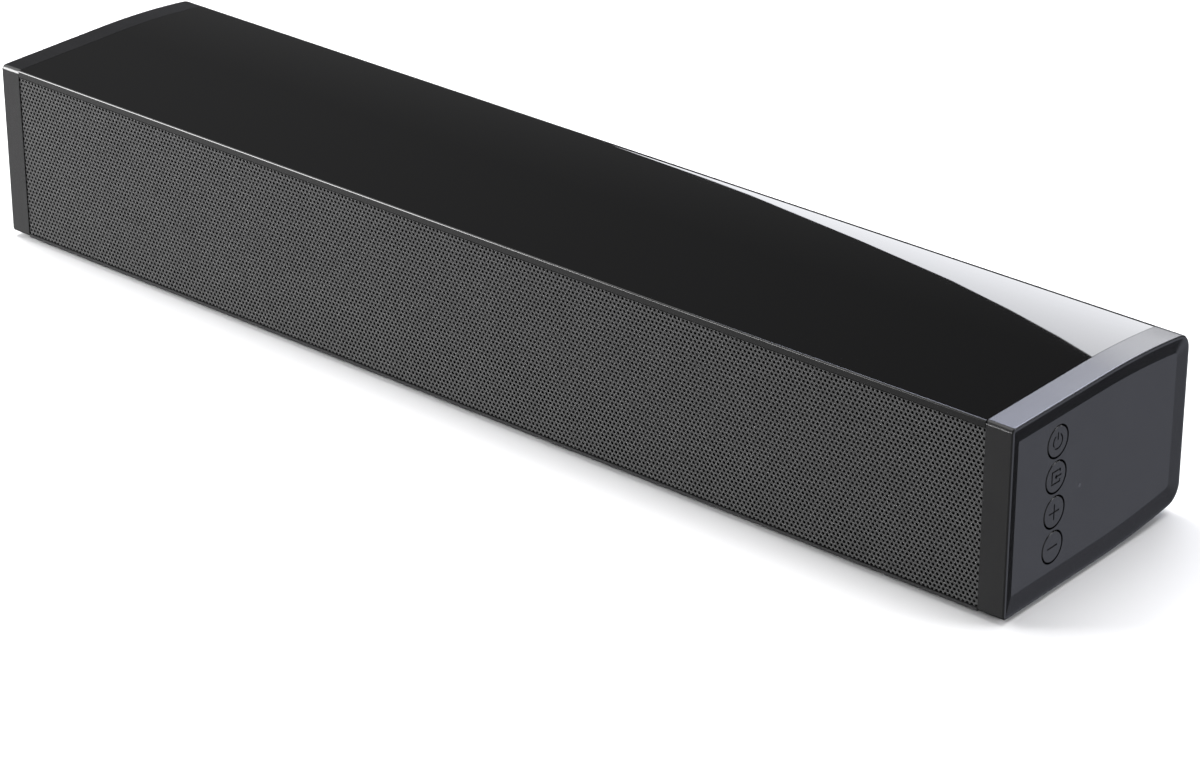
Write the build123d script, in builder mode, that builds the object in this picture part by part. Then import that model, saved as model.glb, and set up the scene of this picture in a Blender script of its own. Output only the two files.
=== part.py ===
"""A desktop soundbar: a moulded case with a perforated front, two sealed-back drivers,
an amplifier board with its sockets in a rear bay, and four keys in the right end cap.

Millimetres. X runs along the bar, the front faces -Y and Z is up. The origin is on the
surface that the bar stands on, under the middle of its length and depth.
"""

import os
from math import pi, radians, sin

from build123d import *

# Case
LENGTH = 400.0
DEPTH = 87.4
HEIGHT = 59.3
FOOT_HEIGHT = 1.5
WALL = 2.2
SEAM = 0.15
EDGE_RADIUS = 0.5
FLAT_DEPTH = 45.0
CROWN_RADIUS = 300.0
CROWN_ANGLE = 7.1
REAR_SPLIT = 20.8
BOTTOM_LIP = 1.3

# End caps
LEFT_CAP_WIDTH = 8.0
RIGHT_CAP_WIDTH = 8.8
CAP_WALL = 3.9
CAP_EDGE_RADIUS = 1.6
RIM = 1.1
RIM_FILLET = 0.5
DISH_DEPTH = 1.0
PANEL_INSET_Y = 4.7
PANEL_INSET_Z = 5.7
PANEL_WALL = 1.8
SPIGOT_LENGTH = 5.0
SPIGOT_FROM_FRONT = 12.0

# Grille, cloth and baffle
GRILLE_TOP_GAP = 0.4
GRILLE_RECESS = 0.3
GRILLE_SHEET = 0.8
GRILLE_RETURN = 4.0
CLOTH_THICKNESS = 0.3
BAFFLE_SETBACK = 6.4
BAFFLE_THICKNESS = 3.0

# Keys
KEY_PITCH = 11.0
KEY_FROM_FRONT = 23.85
KEY_DIAMETER = 9.4
KEY_GROOVE = 0.45
KEY_CHAMFER = 0.2
ICON_DEPTH = 0.3
ICON_LINE = 0.5
ICON_SPAN = 5.0

# Drivers
DRIVER_X = 125.0
FLANGE_SIDE = 53.0
FLANGE_THICKNESS = 1.2
DRIVER_SCREW_OFFSET = 22.0

# Rear bay and sockets
BAY_WIDTH = 84.0
BAY_LOW = 13.0
BAY_HIGH = 32.0
BAY_DEPTH = 14.0
BAY_WALL = 2.0
DC_X = -30.0
USB_X = -12.0
AUX_X = 5.0
OPTICAL_X = 25.0
AUX_BORE_RADIUS = 1.8
AUX_BORE_LENGTH = 14.0

# Main board
BOARD_THICKNESS = 1.6
BOARD_TOP = 15.6
BOARD_WIDTH = 116.0
BOARD_FRONT = -22.0

# Fasteners
SCREW_RADIUS = 1.25
SCREW_CLEARANCE = 0.02
WALL_INSERT_X = 100.0
WALL_INSERT_BORE = 2.0

# Derived places
FRONT_Y = -DEPTH / 2
REAR_Y = DEPTH / 2
MID_Z = FOOT_HEIGHT + HEIGHT / 2
LEFT_SEAM = -LENGTH / 2 + LEFT_CAP_WIDTH
RIGHT_SEAM = LENGTH / 2 - RIGHT_CAP_WIDTH
SHELL_LENGTH = RIGHT_SEAM - LEFT_SEAM - 2 * SEAM
GRILLE_BAY = BAFFLE_SETBACK + BAFFLE_THICKNESS + SEAM
BAFFLE_Y = FRONT_Y + BAFFLE_SETBACK
DRIVER_Y = BAFFLE_Y - FLANGE_THICKNESS
FLOOR_Z = FOOT_HEIGHT + WALL
CEILING_Z = FOOT_HEIGHT + HEIGHT - WALL
BAY_FLOOR_Y = REAR_Y - BAY_DEPTH
BOARD_REAR = BAY_FLOOR_Y - BAY_WALL - 0.3
PANEL_X = LENGTH / 2 - DISH_DEPTH
PANEL_BACK_X = PANEL_X - PANEL_WALL
KEY_Y = FRONT_Y + KEY_FROM_FRONT
REAR_SCREW_PITCH_X = 121.2
REAR_SCREW_Z = 16.0

os.makedirs("parts", exist_ok=True)


def across(x):
    """The plane square to the bar's length at x, with its origin at mid-height."""
    return Plane((x, 0, MID_Z), x_dir=(0, 1, 0), z_dir=(1, 0, 0))


def facing(y):
    """The plane that looks out of the back of the bar at depth y, with x to the right."""
    return Plane((0, y, MID_Z), x_dir=(1, 0, 0), z_dir=(0, -1, 0))


def finish(piece, name):
    """Labels a piece and writes it as its own STEP file."""
    piece.part.label = name
    export_step(piece.part, f"parts/{name}.step")


def outline(inset_y=0.0, inset_z=0.0, front_radius=0.0):
    """The bar's end profile, flat in front and crowned behind, drawn inside its walls."""
    turn = sin(radians(CROWN_ANGLE))
    crown_radius = CROWN_RADIUS - inset_z
    corner_radius = (DEPTH - inset_y - FLAT_DEPTH - crown_radius * turn) / (1 - turn)
    top_z = HEIGHT / 2 - inset_z
    with BuildSketch() as profile:
        with BuildLine():
            front = Line((FRONT_Y + inset_y, 0), (FRONT_Y + inset_y, top_z))
            flat = Line(front @ 1, (FRONT_Y + FLAT_DEPTH, top_z))
            crown = JernArc(flat @ 1, flat % 1, crown_radius, -CROWN_ANGLE)
            corner = JernArc(crown @ 1, crown % 1, corner_radius, CROWN_ANGLE - 90)
            Line(corner @ 1, (REAR_Y - inset_y, 0))
            mirror(about=Plane.XZ)
        make_face()
        if front_radius:
            fillet(profile.vertices().group_by(Axis.X)[0], radius=front_radius)
    return profile.sketch


with BuildSketch() as case_wall:
    add(outline(front_radius=EDGE_RADIUS))
    add(outline(WALL, WALL), mode=Mode.SUBTRACT)

# ---------------------------------------------------------------- case shells

CASE_POSTS = [(-172.0, -22.0), (172.0, -22.0), (-84.0, 20.0), (84.0, 20.0)]
BOARD_POSTS = [(-52.0, -16.0), (52.0, -16.0), (-52.0, 21.0), (52.0, 21.0)]
FOOT_X = 150.0
FOOT_PLACES = {
    "foot_front_left": (-FOOT_X, FRONT_Y + 20.0),
    "foot_front_right": (FOOT_X, FRONT_Y + 20.0),
    "foot_rear_left": (-FOOT_X, FRONT_Y + 66.0),
    "foot_rear_right": (FOOT_X, FRONT_Y + 66.0),
}
POST_MEETING_Z = MID_Z - 8.0
CASE_SCREW_HEAD_Z = FLOOR_Z + 8.0
FOOT_RADIUS = 8.0
FOOT_POCKET_Z = 2.9
REAR_BOSS_DEPTH = 8.0
REAR_BOSS_WIDTH = 7.0
REAR_SCREW_X = [REAR_SCREW_PITCH_X * (i - 1.5) for i in range(4)]


def rear_bosses(side):
    """Blocks inside the case that the rear cover's screws go into, below or above."""
    wall_z = MID_Z + side * (HEIGHT / 2 - 4.5)
    tip_z = MID_Z + side * (REAR_SCREW_Z - REAR_BOSS_WIDTH / 2)
    rear_y = REAR_Y - WALL - SEAM
    with BuildPart() as bosses:
        for x in REAR_SCREW_X:
            with Locations((x, rear_y - REAR_BOSS_DEPTH / 2, (wall_z + tip_z) / 2)):
                Box(REAR_BOSS_WIDTH, REAR_BOSS_DEPTH, abs(wall_z - tip_z))
        with BuildSketch(facing(rear_y)):
            with Locations(*[(x, side * REAR_SCREW_Z) for x in REAR_SCREW_X]):
                Circle(SCREW_RADIUS + SCREW_CLEARANCE)
        extrude(amount=REAR_BOSS_DEPTH, mode=Mode.SUBTRACT)
    return bosses.part


with BuildPart() as top_cover:
    with BuildSketch(across(LEFT_SEAM + SEAM)):
        add(case_wall.sketch)
        with Locations((0, REAR_SPLIT)):
            Rectangle(DEPTH, HEIGHT, align=(Align.CENTER, Align.MIN), mode=Mode.INTERSECT)
        with Locations((FRONT_Y, HEIGHT / 2 - WALL)):
            Rectangle(GRILLE_BAY, HEIGHT, align=(Align.MIN, Align.MAX), mode=Mode.SUBTRACT)
    extrude(amount=SHELL_LENGTH)
    with BuildSketch(Plane.XY.offset(POST_MEETING_Z)):
        with Locations(*CASE_POSTS):
            Circle(3.5)
    extrude(amount=CEILING_Z - POST_MEETING_Z)
    with BuildSketch(Plane.XY.offset(POST_MEETING_Z)):
        with Locations(*CASE_POSTS):
            Circle(SCREW_RADIUS + SCREW_CLEARANCE)
    extrude(amount=14, mode=Mode.SUBTRACT)
    add(rear_bosses(1))
finish(top_cover, "top_cover")

with BuildPart() as bottom_chassis:
    with BuildSketch(across(LEFT_SEAM + SEAM)):
        add(case_wall.sketch)
        with Locations((0, -REAR_SPLIT)):
            Rectangle(DEPTH, HEIGHT, align=(Align.CENTER, Align.MAX), mode=Mode.INTERSECT)
        with Locations((FRONT_Y, BOTTOM_LIP - HEIGHT / 2)):
            Rectangle(GRILLE_BAY, HEIGHT, align=(Align.MIN, Align.MIN), mode=Mode.SUBTRACT)
    extrude(amount=SHELL_LENGTH)
    with BuildSketch(Plane.XY.offset(FLOOR_Z)):
        with Locations(*CASE_POSTS):
            Circle(4.2)
    extrude(amount=POST_MEETING_Z - FLOOR_Z)
    with BuildSketch(Plane.XY.offset(FLOOR_Z)):
        with Locations(*BOARD_POSTS):
            Circle(3.0)
    extrude(amount=BOARD_TOP - BOARD_THICKNESS - FLOOR_Z)
    with BuildSketch(Plane.XY.offset(FLOOR_Z)):
        with Locations(*FOOT_PLACES.values()):
            Circle(FOOT_RADIUS + 2.0)
    extrude(amount=1.6)
    for x in (-66.0, 66.0):
        with Locations((x, 4.0, FLOOR_Z)):
            Box(1.5, 66.0, 8.0, align=(Align.CENTER, Align.CENTER, Align.MIN))
    add(rear_bosses(-1))
    with BuildSketch(Plane.XY.offset(FOOT_HEIGHT - 1)):
        with Locations(*CASE_POSTS):
            Circle(3.1)
    extrude(amount=CASE_SCREW_HEAD_Z - FOOT_HEIGHT + 1, mode=Mode.SUBTRACT)
    with BuildSketch(Plane.XY.offset(FOOT_HEIGHT)):
        with Locations(*CASE_POSTS):
            Circle(SCREW_RADIUS + 0.15)
    extrude(amount=POST_MEETING_Z - FOOT_HEIGHT, mode=Mode.SUBTRACT)
    with BuildSketch(Plane.XY.offset(BOARD_TOP - BOARD_THICKNESS)):
        with Locations(*BOARD_POSTS):
            Circle(SCREW_RADIUS + SCREW_CLEARANCE)
    extrude(amount=-8, mode=Mode.SUBTRACT)
    with BuildSketch(Plane.XY):
        with Locations(*FOOT_PLACES.values()):
            Circle(FOOT_RADIUS + 0.1)
    extrude(amount=FOOT_POCKET_Z, mode=Mode.SUBTRACT)
finish(bottom_chassis, "bottom_chassis")

for name, (x, y) in FOOT_PLACES.items():
    with BuildPart() as foot:
        with Locations((x, y, 0)):
            Cylinder(FOOT_RADIUS, FOOT_POCKET_Z, align=(Align.CENTER, Align.CENTER, Align.MIN))
        fillet(foot.edges().group_by(Axis.Z)[0], radius=0.6)
    finish(foot, name)

# ------------------------------------------------------------ rear cover and bay

SOCKET_Z = BOARD_TOP + 5.5
AUX_Z = BOARD_TOP + 3.4
USB_Z = BOARD_TOP + 1.7
INSERT_RADIUS = 3.2
INSERT_LENGTH = 8.0

with BuildPart() as rear_cover:
    with BuildSketch(across(LEFT_SEAM + SEAM)):
        with Locations((REAR_Y, 0)):
            Rectangle(
                WALL, 2 * (REAR_SPLIT - SEAM), align=(Align.MAX, Align.CENTER)
            )
    extrude(amount=SHELL_LENGTH)
    bay_middle = (BAY_LOW + BAY_HIGH) / 2 - MID_Z
    with BuildSketch(facing(REAR_Y)):
        with Locations((0, bay_middle)):
            RectangleRounded(
                BAY_WIDTH + 2 * BAY_WALL, BAY_HIGH - BAY_LOW + 2 * BAY_WALL, radius=4
            )
    extrude(amount=BAY_DEPTH + BAY_WALL)
    with BuildSketch(facing(REAR_Y)):
        with Locations((0, bay_middle)):
            RectangleRounded(BAY_WIDTH, BAY_HIGH - BAY_LOW, radius=2.5)
    extrude(amount=BAY_DEPTH, mode=Mode.SUBTRACT)
    with BuildSketch(facing(BAY_FLOOR_Y)):
        with Locations((DC_X, SOCKET_Z - MID_Z)):
            Circle(4.4)
        with Locations((USB_X, USB_Z - MID_Z)):
            RectangleRounded(9.4, 3.7, radius=1.8)
        with Locations((AUX_X, AUX_Z - MID_Z)):
            Circle(3.1)
        with Locations((OPTICAL_X, SOCKET_Z - MID_Z)):
            RectangleRounded(12.4, 10.8, radius=0.6)
    extrude(amount=BAY_WALL, mode=Mode.SUBTRACT)
    with BuildSketch(facing(REAR_Y)):
        with Locations((-WALL_INSERT_X, 0), (WALL_INSERT_X, 0)):
            Circle(INSERT_RADIUS + 1.6)
    extrude(amount=INSERT_LENGTH + 2)
    with BuildSketch(facing(REAR_Y)):
        with Locations((-WALL_INSERT_X, 0), (WALL_INSERT_X, 0)):
            Circle(INSERT_RADIUS)
    extrude(amount=INSERT_LENGTH, mode=Mode.SUBTRACT)
    back = Plane((0, REAR_Y, MID_Z), x_dir=(1, 0, 0), z_dir=(0, 1, 0))
    with Locations(back):
        with GridLocations(REAR_SCREW_PITCH_X, 2 * REAR_SCREW_Z, 4, 2):
            CounterSinkHole(SCREW_RADIUS + 0.15, 2.7, depth=WALL + 1)
    mouth = rear_cover.faces().sort_by(Axis.Y)[-1].inner_wires()
    chamfer(mouth.sort_by(lambda wire: wire.length)[-1].edges(), length=0.5)
finish(rear_cover, "rear_cover")

with BuildPart() as wall_inserts:
    with BuildSketch(facing(REAR_Y - 0.2)):
        with Locations((-WALL_INSERT_X, 0), (WALL_INSERT_X, 0)):
            Circle(INSERT_RADIUS)
            Circle(WALL_INSERT_BORE, mode=Mode.SUBTRACT)
    extrude(amount=INSERT_LENGTH - 0.2)
finish(wall_inserts, "wall_inserts")

# -------------------------------------------------------------------- end caps

KEY_PLACES = {
    "power": 1.5 * KEY_PITCH,
    "source": 0.5 * KEY_PITCH,
    "volume_up": -0.5 * KEY_PITCH,
    "volume_down": -1.5 * KEY_PITCH,
}
LIGHT_Y = FRONT_Y + 36.0
LIGHT_Z = -2.0
LIGHT_RADIUS = 0.6
KEY_BOARD_X = 189.8
KEY_BOARD_POST_Z = 22.2
KEY_EAR_WIDTH = 14.0
KEY_RELIEF = 1.0
KEY_POST_RADIUS = 2.3
KEY_POST_PILOT = 1.02


def end_cap(side, width):
    """A cap with a shallow dish outside and a spigot that slides into the case."""
    seam_x = side * (LENGTH / 2 - width)
    with BuildPart() as cap:
        with BuildSketch(across(seam_x)):
            add(outline(front_radius=CAP_EDGE_RADIUS))
        extrude(amount=side * width)
        fillet(cap.edges().group_by(Axis.X)[-1 if side > 0 else 0], radius=RIM_FILLET)
        with BuildSketch(across(side * LENGTH / 2)):
            add(outline(RIM, RIM))
        with BuildSketch(across(side * PANEL_X)):
            add(outline(PANEL_INSET_Y, PANEL_INSET_Z))
        loft(mode=Mode.SUBTRACT)
        with BuildSketch(across(seam_x)):
            add(outline(CAP_WALL, CAP_WALL))
        extrude(amount=side * (width - DISH_DEPTH - PANEL_WALL), mode=Mode.SUBTRACT)
        with BuildSketch(across(seam_x)):
            add(outline(WALL + SEAM, WALL + SEAM))
            add(outline(CAP_WALL, CAP_WALL), mode=Mode.SUBTRACT)
            with Locations((FRONT_Y, 0)):
                Rectangle(
                    SPIGOT_FROM_FRONT,
                    HEIGHT,
                    align=(Align.MIN, Align.CENTER),
                    mode=Mode.SUBTRACT,
                )
        extrude(amount=-side * SPIGOT_LENGTH)
    return cap


left_end_cap = end_cap(-1, LEFT_CAP_WIDTH)
finish(left_end_cap, "left_end_cap")

with BuildPart() as right_end_cap:
    add(end_cap(1, RIGHT_CAP_WIDTH).part)
    with BuildSketch(across(KEY_BOARD_X)):
        with Locations((KEY_Y, KEY_BOARD_POST_Z), (KEY_Y, -KEY_BOARD_POST_Z)):
            Circle(KEY_POST_RADIUS)
    extrude(amount=PANEL_BACK_X - KEY_BOARD_X)
    with BuildSketch(across(KEY_BOARD_X)):
        with Locations((KEY_Y, KEY_BOARD_POST_Z), (KEY_Y, -KEY_BOARD_POST_Z)):
            Circle(KEY_POST_PILOT)
    extrude(amount=6, mode=Mode.SUBTRACT)
    with BuildSketch(across(PANEL_BACK_X - KEY_RELIEF)):
        for z in KEY_PLACES.values():
            with Locations((KEY_Y, z)):
                Circle(KEY_DIAMETER / 2 + KEY_GROOVE)
        with Locations((LIGHT_Y, LIGHT_Z)):
            Circle(LIGHT_RADIUS + 0.02)
    extrude(amount=PANEL_WALL + KEY_RELIEF, mode=Mode.SUBTRACT)
finish(right_end_cap, "right_end_cap")

# ------------------------------------------------------------------------ keys

KEY_EAR_THICKNESS = 0.8
KEY_REST_GAP = 0.05
SWITCH_SIDE = 6.0
SWITCH_TOP_X = 193.3
PLUNGER_TOP_X = 194.1
PLUNGER_RADIUS = 1.5
SWITCH_HOLE_FLOOR_X = SWITCH_TOP_X - 1.8


def power_icon():
    """A broken ring with an upright stroke in its gap."""
    ring, gap = ICON_SPAN / 2 - 0.1, 2.0
    Circle(ring)
    Circle(ring - ICON_LINE, mode=Mode.SUBTRACT)
    with Locations((0, ring)):
        Rectangle(gap, ring, mode=Mode.SUBTRACT)
    with Locations((0, 0.7 * ring)):
        SlotOverall(ring, ICON_LINE, rotation=90)


def source_icon():
    """A box with an arrow going in."""
    side, opening, head = 0.86 * ICON_SPAN, 2.2, 1.5
    Rectangle(side, side)
    Rectangle(side - 2 * ICON_LINE, side - 2 * ICON_LINE, mode=Mode.SUBTRACT)
    with Locations((side / 2, 0)):
        Rectangle(1.2, opening, mode=Mode.SUBTRACT)
    with Locations((side / 2 - 0.6, 0)):
        Rectangle(side / 2, ICON_LINE)
    with Locations((0, 0)):
        Triangle(a=head, b=head, c=head, rotation=90)


def plus_icon():
    """A plus sign."""
    SlotOverall(ICON_SPAN, ICON_LINE)
    SlotOverall(ICON_SPAN, ICON_LINE, rotation=90)


def minus_icon():
    """A minus sign."""
    SlotOverall(ICON_SPAN, ICON_LINE)


KEY_ICONS = {
    "power": power_icon,
    "source": source_icon,
    "volume_up": plus_icon,
    "volume_down": minus_icon,
}

for name, z in KEY_PLACES.items():
    with BuildPart() as key:
        with BuildSketch(across(PANEL_BACK_X - KEY_REST_GAP)):
            with Locations((KEY_Y, z)):
                Circle(KEY_DIAMETER / 2)
        extrude(amount=PANEL_WALL + KEY_REST_GAP)
        chamfer(key.edges().group_by(Axis.X)[-1], length=KEY_CHAMFER)
        with BuildSketch(across(PANEL_BACK_X - KEY_REST_GAP)):
            with Locations((KEY_Y, z)):
                RectangleRounded(KEY_EAR_WIDTH, 5.0, radius=1.0)
        extrude(amount=-KEY_EAR_THICKNESS)
        with BuildSketch(across(PLUNGER_TOP_X)):
            with Locations((KEY_Y, z)):
                Circle(2.0)
        extrude(amount=PANEL_BACK_X - PLUNGER_TOP_X - KEY_EAR_THICKNESS)
        with BuildSketch(across(PANEL_X)):
            with Locations((KEY_Y, z)):
                KEY_ICONS[name]()
        extrude(amount=-ICON_DEPTH, mode=Mode.SUBTRACT)
    finish(key, f"{name}_key")

    with BuildPart() as plunger:
        with BuildSketch(across(PLUNGER_TOP_X)):
            with Locations((KEY_Y, z)):
                Circle(PLUNGER_RADIUS)
        extrude(amount=-1.8)
    finish(plunger, f"{name}_plunger")

with BuildPart() as switch_bodies:
    with BuildSketch(across(KEY_BOARD_X)):
        for z in KEY_PLACES.values():
            with Locations((KEY_Y, z)):
                RectangleRounded(SWITCH_SIDE, SWITCH_SIDE, radius=0.4)
    extrude(amount=SWITCH_TOP_X - KEY_BOARD_X)
    with BuildSketch(across(SWITCH_HOLE_FLOOR_X)):
        for z in KEY_PLACES.values():
            with Locations((KEY_Y, z)):
                Circle(PLUNGER_RADIUS + 0.1)
    extrude(amount=SWITCH_TOP_X - SWITCH_HOLE_FLOOR_X, mode=Mode.SUBTRACT)
finish(switch_bodies, "switch_bodies")

with BuildPart() as key_board:
    with BuildSketch(across(KEY_BOARD_X - BOARD_THICKNESS)):
        with Locations((KEY_Y + 4.0, 0)):
            RectangleRounded(24.0, 49.5, radius=1.5)
        with Locations((KEY_Y, KEY_BOARD_POST_Z), (KEY_Y, -KEY_BOARD_POST_Z)):
            Circle(1.2, mode=Mode.SUBTRACT)
    extrude(amount=BOARD_THICKNESS)
finish(key_board, "key_board")

with BuildPart() as status_light_pipe:
    with BuildSketch(across(KEY_BOARD_X + 0.6)):
        with Locations((LIGHT_Y, LIGHT_Z)):
            Circle(LIGHT_RADIUS)
    extrude(amount=PANEL_X - KEY_BOARD_X - 0.6)
    with BuildSketch(across(KEY_BOARD_X + 0.6)):
        with Locations((LIGHT_Y, LIGHT_Z)):
            Circle(1.6)
    extrude(amount=1.2)
finish(status_light_pipe, "status_light_pipe")

# -------------------------------------------------------- grille, cloth, baffle

GRILLE_LOW = BOTTOM_LIP + SEAM
GRILLE_HIGH = WALL + GRILLE_TOP_GAP
GRILLE_HEIGHT = HEIGHT - GRILLE_HIGH - GRILLE_LOW
GRILLE_CENTRE = ((LEFT_SEAM + RIGHT_SEAM) / 2, (GRILLE_LOW - GRILLE_HIGH) / 2)
GRILLE_Y = FRONT_Y + GRILLE_RECESS
CLOTH_Y = GRILLE_Y + GRILLE_SHEET
BAFFLE_HEIGHT = HEIGHT - 2 * WALL - 2 * SEAM
SENSOR_X = 62.0
SENSOR_WIDTH = 8.0

with BuildPart() as front_grille:
    with BuildSketch(facing(GRILLE_Y + GRILLE_SHEET + GRILLE_RETURN)):
        with Locations(GRILLE_CENTRE):
            Rectangle(SHELL_LENGTH, GRILLE_HEIGHT)
    extrude(amount=GRILLE_SHEET + GRILLE_RETURN)
    fillet(front_grille.edges().group_by(Axis.Y)[0], radius=0.5)
    with BuildSketch(facing(GRILLE_Y + GRILLE_SHEET + GRILLE_RETURN)):
        with Locations(GRILLE_CENTRE):
            Rectangle(SHELL_LENGTH - 2 * GRILLE_SHEET, GRILLE_HEIGHT - 2 * GRILLE_SHEET)
    extrude(amount=GRILLE_RETURN, mode=Mode.SUBTRACT)
finish(front_grille, "front_grille")

with BuildPart() as grille_cloth:
    with BuildSketch(facing(CLOTH_Y + CLOTH_THICKNESS)):
        with Locations(GRILLE_CENTRE):
            Rectangle(
                SHELL_LENGTH - 2 * GRILLE_SHEET - 0.4, GRILLE_HEIGHT - 2 * GRILLE_SHEET - 0.4
            )
    extrude(amount=CLOTH_THICKNESS)
finish(grille_cloth, "grille_cloth")

with BuildPart() as front_baffle:
    with BuildSketch(facing(BAFFLE_Y + BAFFLE_THICKNESS)):
        with Locations(((LEFT_SEAM + RIGHT_SEAM) / 2, 0)):
            Rectangle(SHELL_LENGTH - 2 * GRILLE_SHEET - 0.4, BAFFLE_HEIGHT)
        with Locations((-DRIVER_X, 0), (DRIVER_X, 0)):
            Circle(22.7, mode=Mode.SUBTRACT)
            with GridLocations(2 * DRIVER_SCREW_OFFSET, 2 * DRIVER_SCREW_OFFSET, 2, 2):
                Circle(SCREW_RADIUS + SCREW_CLEARANCE, mode=Mode.SUBTRACT)
        with Locations((SENSOR_X, 0)):
            Rectangle(SENSOR_WIDTH, SENSOR_WIDTH, mode=Mode.SUBTRACT)
    extrude(amount=BAFFLE_THICKNESS)
    with BuildSketch(facing(BAFFLE_Y)):
        with Locations((-60, 0), (0, 0)):
            RectangleRounded(40, 40, radius=6)
            RectangleRounded(37, 37, radius=4.5, mode=Mode.SUBTRACT)
    extrude(amount=1.5)
finish(front_baffle, "front_baffle")

# --------------------------------------------------------------------- drivers

COIL_INNER = 5.2
FORMER_OUTER = 5.35
COIL_OUTER = 5.7
SPIDER_Y = 8.8
SPIDER_WAVES = 4
DUST_CAP_RADIUS = 12.0
DUST_CAP_CENTRE = 16.3
DUST_CAP_ANGLE = 33.0


def turned(x, corners):
    """Revolves an outline of (radius, depth behind the flange's face) about a driver."""
    with BuildPart() as piece:
        with BuildSketch(Plane((x, DRIVER_Y, MID_Z))):
            with BuildLine():
                Polyline(*corners, close=True)
            make_face()
        revolve(axis=Axis((x, DRIVER_Y, MID_Z), (0, 1, 0)))
    return piece


def surround_ring(x):
    """The half-roll between the cone's edge and the flange, with its two glued lips."""
    with BuildPart() as piece:
        with BuildSketch(Plane((x, DRIVER_Y, MID_Z))):
            with BuildLine():
                inner_lip = Polyline((16.3, 1.2), (16.3, 0.8), (17.5, 0.8), (17.5, 0.2))
                roll = ThreePointArc(inner_lip @ 1, (19.9, -2.0), (22.3, -0.4))
                outer_lip = Polyline(roll @ 1, (24.3, -0.4), (24.3, 0), (21.9, 0))
                under = ThreePointArc(outer_lip @ 1, (19.9, -1.6), (17.9, 0.4))
                Polyline(under @ 1, (17.9, 1.2), (16.3, 1.2))
            make_face()
        revolve(axis=Axis((x, DRIVER_Y, MID_Z), (0, 1, 0)))
    return piece


def spider_disc(x):
    """The corrugated suspension, drawn as a wave from the coil's former to the ledge."""
    steps = [i / 24 for i in range(25)]
    wave = [(7 + 8 * s, SPIDER_Y - 0.5 * sin(2 * pi * SPIDER_WAVES * s)) for s in steps]
    thickness = 0.3
    front = [(r, y - thickness / 2) for r, y in wave]
    rear = [(r, y + thickness / 2) for r, y in reversed(wave)]
    collar = FORMER_OUTER + 0.05
    front_end = [(17.5, SPIDER_Y - thickness / 2), (17.5, SPIDER_Y + thickness / 2)]
    inner_end = [(collar, SPIDER_Y + thickness / 2), (collar, SPIDER_Y - thickness / 2)]
    return turned(x, front + front_end + rear + inner_end)


for side, x in (("left", -DRIVER_X), ("right", DRIVER_X)):
    with BuildPart() as basket:
        with BuildSketch(Plane((x, DRIVER_Y, MID_Z))):
            with BuildLine():
                Polyline(
                    (21.4, 0),
                    (22.4, 0),
                    (22.4, 1.2),
                    (19.6, 9),
                    (19.6, 10),
                    (16.6, 10),
                    (16.6, 15),
                    (6.3, 15),
                    (6.3, 14),
                    (15.6, 14),
                    (15.6, 9),
                    (18.6, 9),
                    (21.4, 1.2),
                    close=True,
                )
            make_face()
        revolve(axis=Axis((x, DRIVER_Y, MID_Z), (0, 1, 0)))
        with Locations(Plane((x, DRIVER_Y, MID_Z), z_dir=(0, 1, 0))):
            with PolarLocations(19.0, 4, start_angle=45):
                with Locations((0, 0, 5.2)):
                    Box(9, 12, 5.0, mode=Mode.SUBTRACT)
        with BuildSketch(Plane((x, DRIVER_Y, MID_Z), x_dir=(1, 0, 0), z_dir=(0, 1, 0))):
            RectangleRounded(FLANGE_SIDE, FLANGE_SIDE, radius=5)
            Circle(21.4, mode=Mode.SUBTRACT)
            with GridLocations(2 * DRIVER_SCREW_OFFSET, 2 * DRIVER_SCREW_OFFSET, 2, 2):
                Circle(SCREW_RADIUS + 0.2, mode=Mode.SUBTRACT)
        extrude(amount=FLANGE_THICKNESS)
    finish(basket, f"{side}_basket")

    top_plate = turned(x, [(5.95, 15), (13, 15), (13, 18), (5.95, 18)])
    finish(top_plate, f"{side}_top_plate")

    magnet = turned(x, [(8, 18), (15.6, 18), (16, 18.4), (16, 25.6), (15.6, 26), (8, 26)])
    finish(magnet, f"{side}_magnet")

    yoke = turned(x, [(0, 15.2), (4.95, 15.2), (4.95, 26), (13.5, 26), (13.5, 29), (0, 29)])
    finish(yoke, f"{side}_yoke")

    voice_coil = turned(
        x,
        [
            (COIL_INNER, 7.5),
            (FORMER_OUTER, 7.5),
            (FORMER_OUTER, 14.5),
            (COIL_OUTER, 14.5),
            (COIL_OUTER, 19.5),
            (COIL_INNER, 19.5),
        ],
    )
    finish(voice_coil, f"{side}_voice_coil")

    cone = turned(
        x,
        [(5.4, 7.3), (16.3, 1.2), (17.8, 1.2), (17.8, 1.6), (16.5, 1.6), (5.4, 7.8)],
    )
    finish(cone, f"{side}_cone")

    with BuildPart() as dust_cap:
        with BuildSketch(Plane((x, DRIVER_Y, MID_Z))):
            with BuildLine():
                crown = CenterArc((0, DUST_CAP_CENTRE), DUST_CAP_RADIUS, -90, DUST_CAP_ANGLE)
                under = CenterArc(
                    (0, DUST_CAP_CENTRE), DUST_CAP_RADIUS - 0.4, -90, DUST_CAP_ANGLE
                )
                Line(crown @ 0, under @ 0)
                Line(crown @ 1, under @ 1)
            make_face()
        revolve(axis=Axis((x, DRIVER_Y, MID_Z), (0, 1, 0)))
    finish(dust_cap, f"{side}_dust_cap")

    surround = surround_ring(x)
    finish(surround, f"{side}_surround")

    spider = spider_disc(x)
    finish(spider, f"{side}_spider")

# ---------------------------------------------------------- boards and sockets

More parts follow.
